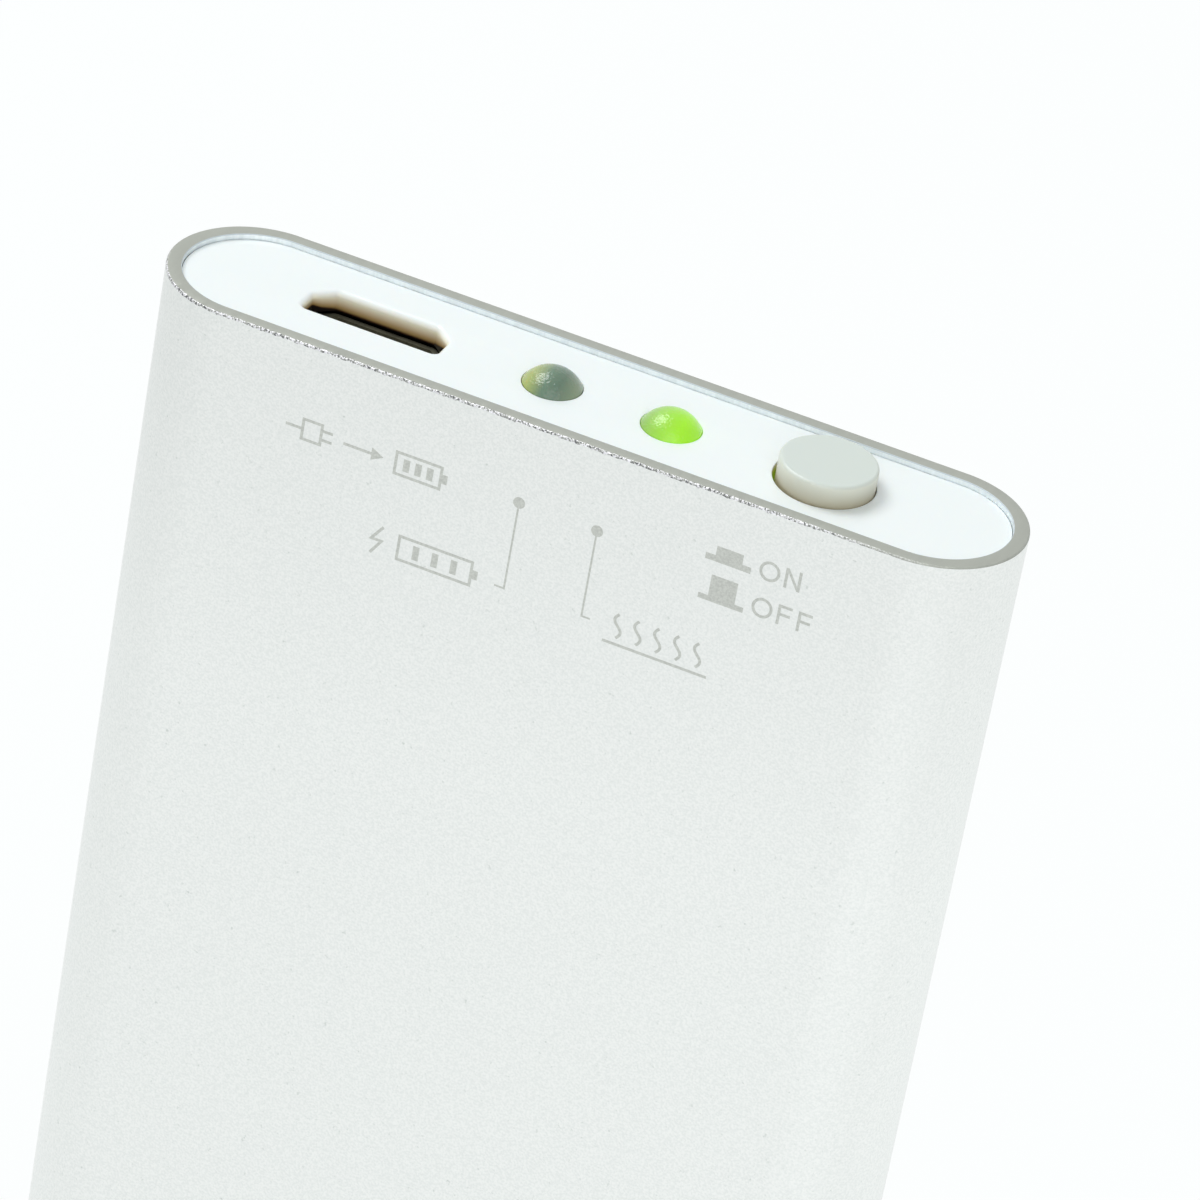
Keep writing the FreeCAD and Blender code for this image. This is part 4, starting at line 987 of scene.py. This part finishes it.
class CapsOperator(bpy.types.Operator):
    """Builds the control end and the plain bottom cap"""
    bl_idname = "hand_warmer.caps"
    bl_label = "Caps"

    def execute(self, context):
        """Makes both mouldings."""
        cap = settings().cap
        lamps = [lamp_centre(node) for node in ("charging_led", "warming_led")]
        collars = [(centre, radius + cap.lamp_gap) for centre, radius in lamps]
        low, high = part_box("power_button")
        button = Vector(((low.x + high.x) / 2 - cap.button_off_centre, cap.button_forward))
        rounds = collars + [(button, (high.y - low.y) / 2 + cap.button_gap)]
        openings = [(grown_circle(centre, radius), cap.edge_round) for centre, radius in rounds]
        openings.append((lambda growth: port_outline(cap, growth - cap.port_lip), cap.port_round))
        moulded_cap("control_end", "top_cap", openings, collars, upside_down=False)
        moulded_cap("bottom_end", "bottom_cap", [], [], upside_down=True)
        return {"FINISHED"}


class LampsOperator(bpy.types.Operator):
    """Gives the lamps their resin and legs"""
    bl_idname = "hand_warmer.lamps"
    bl_label = "Lamps"

    def execute(self, context):
        """Dresses the unlit and the lit lamp."""
        glow = settings().lamp.lit_strength
        dress(lamp_resin("unlit_resin", "charging_led", UNLIT_STOPS, glow=0.0), "charging_led")
        dress(lamp_resin("lit_resin", "warming_led", LIT_STOPS, glow), "warming_led")
        dress_plain("tinned_legs", "charging_led_legs", "warming_led_legs", light=(215, 215, 210),
                    dark=(180, 180, 176), spots=0.3, height=0.002, Metallic=1.0, Roughness=0.35)
        return {"FINISHED"}


class ButtonOperator(bpy.types.Operator):
    """Gives the power button and its switch their finishes"""
    bl_idname = "hand_warmer.button"
    bl_label = "Power Button"

    def execute(self, context):
        """Dresses the button and the switch behind it."""
        dress(grey_moulding(settings().button), "power_button")
        dress_plain("natural_acetal", "switch_plunger", light=(232, 230, 222), dark=(222, 219, 208),
                    spots=0.6, height=0.002, Roughness=0.4)
        dress_plain("black_switch_plastic", "switch_housing", "switch_base", light=(52, 52, 54),
                    dark=(42, 42, 44), spots=0.25, height=0.004, Roughness=0.5)
        dress_plain("tinned_terminals", "switch_terminals", light=(212, 212, 206), dark=(182, 182, 178),
                    spots=0.3, height=0.002, Metallic=1.0, Roughness=0.35)
        return {"FINISHED"}


class SpringOperator(bpy.types.Operator):
    """Winds the switch's return spring"""
    bl_idname = "hand_warmer.spring"
    bl_label = "Return Spring"

    TURN_STEPS = 40
    WIRE_SIDES = 12
    END_PITCH_SHARE = 1.1

    def execute(self, context):
        """Sweeps round wire along a coil with one closed turn at each end."""
        wire = settings().button.spring_wire
        open_turns = settings().button.spring_turns
        low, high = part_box("switch_spring")
        middle = (low + high) / 2
        radius = (high.x - low.x - wire) / 2
        steel = mottled("spring_wire", light=screen(205, 205, 208), dark=screen(170, 170, 174),
                        spots=0.2 * MM, height=0.002 * MM, Metallic=1.0, Roughness=0.25)
        end_rise = self.END_PITCH_SHARE * wire
        open_rise = high.z - low.z - wire - 2 * end_rise
        sides = [2 * math.pi * side / self.WIRE_SIDES for side in range(self.WIRE_SIDES)]
        vertices = []
        for step in range((open_turns + 2) * self.TURN_STEPS + 1):
            turn = step / self.TURN_STEPS
            rise = end_rise * min(turn, 1.0) + end_rise * max(turn - open_turns - 1, 0.0)
            rise += open_rise * min(max((turn - 1) / open_turns, 0.0), 1.0)
            out = Vector((math.cos(2 * math.pi * turn), math.sin(2 * math.pi * turn), 0.0))
            centre = Vector((middle.x, middle.y, low.z + wire / 2 + rise)) + out * radius
            for angle in sides:
                way = out * math.cos(angle) + Vector((0.0, 0.0, math.sin(angle)))
                vertices.append(centre + way * wire / 2)
        last_ring = len(vertices) - self.WIRE_SIDES
        faces = [list(range(self.WIRE_SIDES)), list(reversed(range(last_ring, len(vertices))))]
        for ring in range(0, last_ring, self.WIRE_SIDES):
            for side in range(self.WIRE_SIDES):
                here, there = ring + side, ring + (side + 1) % self.WIRE_SIDES
                faces.append((here, here + self.WIRE_SIDES, there + self.WIRE_SIDES, there))
        piece = add_piece("return_spring", vertices, faces, [steel])
        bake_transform(piece)
        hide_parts("switch_spring")
        return {"FINISHED"}


class SocketOperator(bpy.types.Operator):
    """Gives the charging socket its finishes"""
    bl_idname = "hand_warmer.socket"
    bl_label = "Charging Socket"

    def execute(self, context):
        """Dresses the shell, the tongue and the contacts."""
        dress_plain("socket_steel", "jack_shell", light=(150, 148, 128), dark=(134, 132, 114),
                    spots=0.4, height=0.002, Metallic=0.7, Roughness=0.4)
        dress_plain("socket_tongue", "jack_tongue", light=(40, 40, 42), dark=(30, 30, 32),
                    spots=0.2, height=0.002, Roughness=0.45)
        dress_plain("gilt_contacts", "jack_contacts", light=(226, 190, 110), dark=(196, 160, 84),
                    spots=0.2, height=0.001, Metallic=1.0, Roughness=0.25)
        return {"FINISHED"}


class BoardOperator(bpy.types.Operator):
    """Gives the circuit board and its small parts their finishes"""
    bl_idname = "hand_warmer.board"
    bl_label = "Main Board"

    def execute(self, context):
        """Dresses the board, screws, chips and ceramics."""
        dress_banded("board_tracks", "main_board", light=(38, 96, 62), dark=(28, 78, 48),
                     pitch=0.8, height=0.01, Roughness=0.4)
        dress_plain("screw_steel", "board_screws", light=(196, 196, 198), dark=(158, 158, 162),
                    spots=0.2, height=0.004, Metallic=1.0, Roughness=0.3)
        dress_plain("chip_epoxy", "board_chips", light=(46, 46, 48), dark=(36, 36, 38),
                    spots=0.12, height=0.003, Roughness=0.6)
        dress_plain("chip_tin", "chip_legs", light=(214, 214, 210), dark=(184, 184, 180),
                    spots=0.2, height=0.001, Metallic=1.0, Roughness=0.35)
        dress_plain("tan_ceramic", "board_ceramics", light=(188, 160, 124), dark=(164, 138, 104),
                    spots=0.2, height=0.002, Roughness=0.5)
        return {"FINISHED"}


class BatteryOperator(bpy.types.Operator):
    """Gives the battery, its guard board and wires their finishes"""
    bl_idname = "hand_warmer.battery"
    bl_label = "Battery"

    def execute(self, context):
        """Dresses the cell and what belongs to it."""
        dress_plain("pouch_foil", "battery_cell", light=(214, 216, 220), dark=(192, 194, 198),
                    spots=3.0, height=0.03, Metallic=1.0, Roughness=0.4)
        dress_plain("nickel_tabs", "battery_tabs", light=(206, 204, 196), dark=(180, 178, 170),
                    spots=0.4, height=0.002, Metallic=1.0, Roughness=0.3)
        dress_banded("guard_tracks", "protection_board", light=(40, 92, 64), dark=(30, 76, 50),
                     pitch=0.6, height=0.01, Roughness=0.4)
        dress_plain("guard_chips", "protection_chips", light=(44, 44, 46), dark=(34, 34, 36),
                    spots=0.12, height=0.003, Roughness=0.6)
        dress_plain("red_insulation", "battery_lead_red", light=(190, 34, 30), dark=(168, 26, 24),
                    spots=0.4, height=0.003, Roughness=0.45)
        dress_plain("black_insulation", "battery_lead_black", light=(40, 40, 42), dark=(28, 28, 30),
                    spots=0.4, height=0.003, Roughness=0.45)
        dress_plain("closed_cell_foam", "foam_pad", light=(74, 74, 76), dark=(52, 52, 54),
                    spots=0.35, height=0.05, Roughness=0.9)
        return {"FINISHED"}


class HeatersOperator(bpy.types.Operator):
    """Gives the heater films, felts and the heat sensor their finishes"""
    bl_idname = "hand_warmer.heaters"
    bl_label = "Heaters"

    def execute(self, context):
        """Dresses what lies between the battery and the tube."""
        dress_banded("heater_tracks", "front_heater", "rear_heater", light=(206, 132, 60), dark=(168, 96, 36),
                     pitch=1.6, height=0.02, Roughness=0.3)
        dress_plain("needled_felt", "front_insulator", "rear_insulator", light=(216, 213, 204),
                    dark=(188, 184, 172), spots=0.3, height=0.08, stretch=(1.0, 1.0, 0.4), Roughness=0.95)
        dress_plain("lead_ribbon", "front_heater_leads", "rear_heater_leads", "thermistor_leads",
                    light=(222, 220, 214), dark=(204, 202, 196), spots=0.4, height=0.003, Roughness=0.5)
        dress_plain("sensor_resin", "thermistor", light=(52, 46, 44), dark=(40, 36, 34),
                    spots=0.3, height=0.004, Roughness=0.25)
        return {"FINISHED"}


class TrayOperator(bpy.types.Operator):
    """Gives the inner tray its finish"""
    bl_idname = "hand_warmer.tray"
    bl_label = "Tray"

    def execute(self, context):
        """Dresses the tray."""
        dress_plain("tray_plastic", "tray", light=(70, 70, 72), dark=(56, 56, 58),
                    spots=0.25, height=0.006, Roughness=0.55)
        return {"FINISHED"}


class PrintOperator(bpy.types.Operator):
    """Prints the marks on the front face"""
    bl_idname = "hand_warmer.front_print"
    bl_label = "Front Print"

    # Places and sizes in millimetres, across from the middle of the front and down from the rim
    DOT_DOWN = 4.38
    # Across, end and tick of each leader line
    LEADERS = ((-1.16, 9.27, -1.68), (2.96, 9.23, 3.42))
    # Foot, thickness of the base and height of each switch sign, and the ends of its base and its button
    SWITCH_SIGNS = ((3.71, 0.34, 0.87), (5.93, 0.29, 1.47))
    SIGN_BASE = (8.5, 10.85)
    SIGN_BUTTON = (9.0, 10.38)
    # Start of each word and the gaps after its letters
    WORDS = (("ON", (11.25, 3.77), (0.24, 0.0)), ("OFF", (11.22, 5.84), (0.25, 0.32, 0.0)))
    # Left, right, top and foot of the plug
    PLUG = (-12.7, -11.7, 4.05, 5.15)
    PLUG_MIDDLE = 4.6
    CABLE_START = -13.6
    PINS = (4.35, 4.85)
    PIN_END = -11.1
    # Start, neck and tip of the arrow
    ARROW = (-10.5, -9.0, -8.35)
    ARROW_HALF = 0.35
    # Left, top, width and height of each battery
    SMALL_BATTERY = (-7.7, 4.0, 2.4, 1.2)
    LARGE_BATTERY = (-6.85, 8.5, 3.9, 1.3)
    POLE_LENGTH = 0.35
    POLE_WIDTH = 0.5
    # Shares of a battery's width where its charge bars stand
    CHARGE_BARS = (0.24, 0.5, 0.76)
    CHARGE_WIDTH = 0.34
    CHARGE_GAP = 0.26
    FLASH = ((-7.75, 8.35), (-8.3, 9.15), (-7.75, 9.15), (-8.25, 9.95))
    HEAT_PLATE = (4.2, 9.7)
    HEAT_PLATE_DOWN = 10.1
    WAVES = 5
    FIRST_WAVE = 4.85
    WAVE_SPACING = 1.05
    WAVE_SWING = 0.2
    WAVE_FOOT = 9.75
    WAVE_HEIGHT = 1.35
    WAVE_STEPS = 16

    def execute(self, context):
        """Draws leader lines, switch signs and plain pictograms in grey ink."""
        marks = settings().front_print
        low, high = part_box("shell")
        ink = Ink(low.y, marks.lift)
        self.top = high.z
        self.half_stroke = marks.stroke / MM / 2
        self.draw_leaders(ink, marks)
        self.draw_switch_signs(ink, marks)
        self.draw_plug_sign(ink, marks)
        self.draw_charge_sign(ink, marks)
        self.draw_heat_sign(ink, marks)
        piece = add_piece("front_print", ink.vertices, ink.faces, [printed_ink(marks)])
        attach(piece, "body")
        return {"FINISHED"}

    def at(self, across, down):
        """A place in metres from millimetres across the front and down from the rim."""
        return (across * MM, self.top - down * MM)

    def level_line(self, ink, start, end, down, width):
        """A line across the front."""
        ink.line([self.at(start, down), self.at(end, down)], width)

    def box_corners(self, left, right, top, low):
        """The corners of a box, from its upper left one down and round."""
        return [self.at(left, top), self.at(left, low), self.at(right, low), self.at(right, top)]

    def draw_leaders(self, ink, marks):
        """The dots below the lamps and the lines that lead from them."""
        start = self.DOT_DOWN + marks.dot / MM / 2
        for across, end, tick in self.LEADERS:
            ink.dot(self.at(across, self.DOT_DOWN), marks.dot)
            ink.line([self.at(across, start), self.at(across, end), self.at(tick, end)], marks.hairline)

    def draw_switch_signs(self, ink, marks):
        """The button drawn pressed and out, with ON and OFF beside it."""
        for foot, thick, rise in self.SWITCH_SIGNS:
            ink.patch(self.box_corners(*self.SIGN_BASE, foot - thick, foot))
            ink.patch(self.box_corners(*self.SIGN_BUTTON, foot - rise, foot - thick))
        for word, start, gaps in self.WORDS:
            x, z = self.at(*start)
            for letter, gap in zip(word, gaps):
                x = LETTERS[letter](ink, x, z, marks.letter_height, marks.stroke) + gap * MM

    def draw_plug_sign(self, ink, marks):
        """A plug, an arrow and a battery in a row below the charging socket."""
        stroke = marks.stroke
        left, right = self.PLUG[:2]
        self.level_line(ink, self.CABLE_START, left - self.half_stroke, self.PLUG_MIDDLE, stroke)
        ink.line(self.box_corners(*self.PLUG), stroke, closed=True)
        for down in self.PINS:
            self.level_line(ink, right + self.half_stroke, self.PIN_END, down, stroke)
        start, neck, tip = self.ARROW
        self.level_line(ink, start, neck, self.PLUG_MIDDLE, stroke)
        ink.patch([self.at(neck, self.PLUG_MIDDLE + self.ARROW_HALF), self.at(tip, self.PLUG_MIDDLE),
                   self.at(neck, self.PLUG_MIDDLE - self.ARROW_HALF)])
        self.draw_battery(ink, marks, *self.SMALL_BATTERY)

    def draw_battery(self, ink, marks, left, top, width, height):
        """A battery outline with a bar inside for each part of its charge."""
        right, low = left + width, top + height
        ink.line(self.box_corners(left, right, top, low), marks.stroke, closed=True)
        pole_end = right + self.POLE_LENGTH
        self.level_line(ink, right + self.half_stroke, pole_end, (top + low) / 2, self.POLE_WIDTH * MM)
        for part in self.CHARGE_BARS:
            x = left + width * part
            ends = [self.at(x, low - self.CHARGE_GAP), self.at(x, top + self.CHARGE_GAP)]
            ink.line(ends, self.CHARGE_WIDTH * MM)

    def draw_charge_sign(self, ink, marks):
        """A flash and a battery beside the charging lamp's line."""
        ink.line([self.at(*corner) for corner in self.FLASH], marks.stroke)
        self.draw_battery(ink, marks, *self.LARGE_BATTERY)

    def draw_heat_sign(self, ink, marks):
        """Rising heat over a plate, beside the warming lamp's line."""
        self.level_line(ink, *self.HEAT_PLATE, self.HEAT_PLATE_DOWN, marks.stroke)
        for number in range(self.WAVES):
            middle = self.FIRST_WAVE + self.WAVE_SPACING * number
            wave = []
            for step in range(self.WAVE_STEPS + 1):
                part = step / self.WAVE_STEPS
                swing = self.WAVE_SWING * math.sin(2 * math.pi * part)
                wave.append(self.at(middle + swing, self.WAVE_FOOT - self.WAVE_HEIGHT * part))
            ink.line(wave, marks.stroke)


class StageOperator(bpy.types.Operator):
    """Sets up the floor, the light and the camera"""
    bl_idname = "hand_warmer.stage"
    bl_label = "Stage"

    # Metres in front of the camera where it begins to see
    CLIP_START = 0.01

    def execute(self, context):
        """Builds a plain pale studio."""
        stage = settings().stage
        context.scene.view_settings.view_transform = "Standard"
        self.add_floor(stage)
        self.add_sky(context, stage)
        aim = Vector((0.0, 0.0, stage.aim_height))
        self.add_softbox(context, "key_softbox", stage.key_place, aim, stage.key_size, stage.key_power)
        self.add_softbox(context, "fill_softbox", stage.fill_place, aim, stage.fill_size, stage.fill_power)
        self.add_camera(context, stage)
        return {"FINISHED"}

    def seen_directly(self, tree):
        """One where the camera, a reflection or clear resin looks straight at the surface, or else nought."""
        rays = tree.nodes.new("ShaderNodeLightPath").outputs
        bounced = calculated(tree, "MAXIMUM", rays["Is Camera Ray"], rays["Is Glossy Ray"])
        return calculated(tree, "MAXIMUM", bounced, rays["Is Transmission Ray"])

    def add_floor(self, stage):
        """A wide floor that looks white, takes a shadow, and is dimmer on the left where metal sees it."""
        half = stage.floor_size / 2
        corners = [(-half, -half, 0.0), (half, -half, 0.0), (half, half, 0.0), (-half, half, 0.0)]
        finish, tree, shader = new_finish("pale_floor", Base_Color=stage.floor_colour, Roughness=0.9)
        dim = [level * stage.left_dark for level in stage.floor_colour]
        rightwards = span(tree, along(tree, "X"), stage.left_end, stage.left_start)
        from_left = ramp(tree, rightwards, [(0.0, dim), (1.0, stage.floor_colour)])
        camera_ray = tree.nodes.new("ShaderNodeLightPath").outputs["Is Camera Ray"]
        seen = mixed(tree, from_left, stage.floor_colour, camera_ray)
        white = add_node(tree, "ShaderNodeEmission", Color=seen, Strength=1.0)
        share_white = calculated(tree, "MULTIPLY", self.seen_directly(tree), stage.floor_white)
        blend = shaders_mixed(tree, share_white, shader.outputs["BSDF"], white.outputs["Emission"])
        output = next(node for node in tree.nodes if node.type == "OUTPUT_MATERIAL")
        feed(tree, output.inputs["Surface"], blend)
        floor = add_piece("floor", corners, [(0, 1, 2, 3)], [finish])

    def add_sky(self, context, stage):
        """Even white light, and a white backdrop where it is looked at."""
        world = bpy.data.worlds.new("studio")
        context.scene.world = world
        world.use_nodes = True
        tree = world.node_tree
        tree.nodes.clear()
        even = add_node(tree, "ShaderNodeBackground", Color=stage.floor_colour, Strength=stage.sky_level)
        white = add_node(tree, "ShaderNodeBackground", Color=stage.floor_colour, Strength=1.0)
        blend = shaders_mixed(tree, self.seen_directly(tree), even.outputs["Background"],
                              white.outputs["Background"])
        add_node(tree, "ShaderNodeOutputWorld", Surface=blend)

    def add_softbox(self, context, name, place, aim, size, power):
        """A square soft light that faces the control end."""
        lamp = bpy.data.lights.new(name, "AREA")
        lamp.energy = power
        lamp.size = size
        holder = bpy.data.objects.new(name, lamp)
        holder.location = place
        holder.rotation_euler = (aim - Vector(place)).to_track_quat("-Z", "Y").to_euler()
        context.scene.collection.objects.link(holder)

    def add_camera(self, context, stage):
        """The camera at the photograph's viewing angle."""
        lens = bpy.data.cameras.new("camera")
        lens.lens = stage.lens
        lens.sensor_width = stage.sensor
        lens.clip_start = self.CLIP_START
        camera = bpy.data.objects.new("camera", lens)
        camera.location = stage.camera_place
        camera.rotation_euler = stage.camera_turn
        context.scene.collection.objects.link(camera)
        context.scene.camera = camera


class HandWarmerPanel(bpy.types.Panel):
    """Lists the hand warmer's pieces and settings in the 3D view's sidebar"""
    bl_idname = "HANDWARMER_PT_panel"
    bl_label = "Hand Warmer"
    bl_space_type = "VIEW_3D"
    bl_region_type = "UI"
    bl_category = "Hand Warmer"

    def draw(self, context):
        """Shows one button for each operator, then every setting."""
        for operator in OPERATORS:
            self.layout.operator(operator.bl_idname)
        for group in settings().bl_rna.properties:
            if group.type != "POINTER" or group.identifier == "rna_type":
                continue
            box = self.layout.box()
            box.label(text=group.name)
            held = getattr(settings(), group.identifier)
            for prop in held.bl_rna.properties:
                if prop.identifier not in ("rna_type", "name"):
                    box.prop(held, prop.identifier)


SETTINGS = (
    TubeSettings, CapSettings, LampSettings, ButtonSettings, PrintSettings, StageSettings, HandWarmerSettings,
)
OPERATORS = (
    TubeOperator, CapsOperator, LampsOperator, ButtonOperator, SpringOperator, SocketOperator, BoardOperator,
    BatteryOperator, HeatersOperator, TrayOperator, PrintOperator, StageOperator,
)


def register():
    """Registers the classes and adds the settings to the scene."""
    for made in SETTINGS + OPERATORS + (HandWarmerPanel,):
        bpy.utils.register_class(made)
    bpy.types.Scene.hand_warmer = settings_group(HandWarmerSettings, "Hand Warmer")


def unregister():
    """Takes the settings and the classes away again."""
    del bpy.types.Scene.hand_warmer
    for made in reversed(SETTINGS + OPERATORS + (HandWarmerPanel,)):
        bpy.utils.unregister_class(made)


def main():
    register()
    bpy.ops.hand_warmer.tube()
    bpy.ops.hand_warmer.caps()
    bpy.ops.hand_warmer.lamps()
    bpy.ops.hand_warmer.button()
    bpy.ops.hand_warmer.spring()
    bpy.ops.hand_warmer.socket()
    bpy.ops.hand_warmer.board()
    bpy.ops.hand_warmer.battery()
    bpy.ops.hand_warmer.heaters()
    bpy.ops.hand_warmer.tray()
    bpy.ops.hand_warmer.front_print()
    bpy.ops.hand_warmer.stage()


if __name__ == "__main__":
    main()
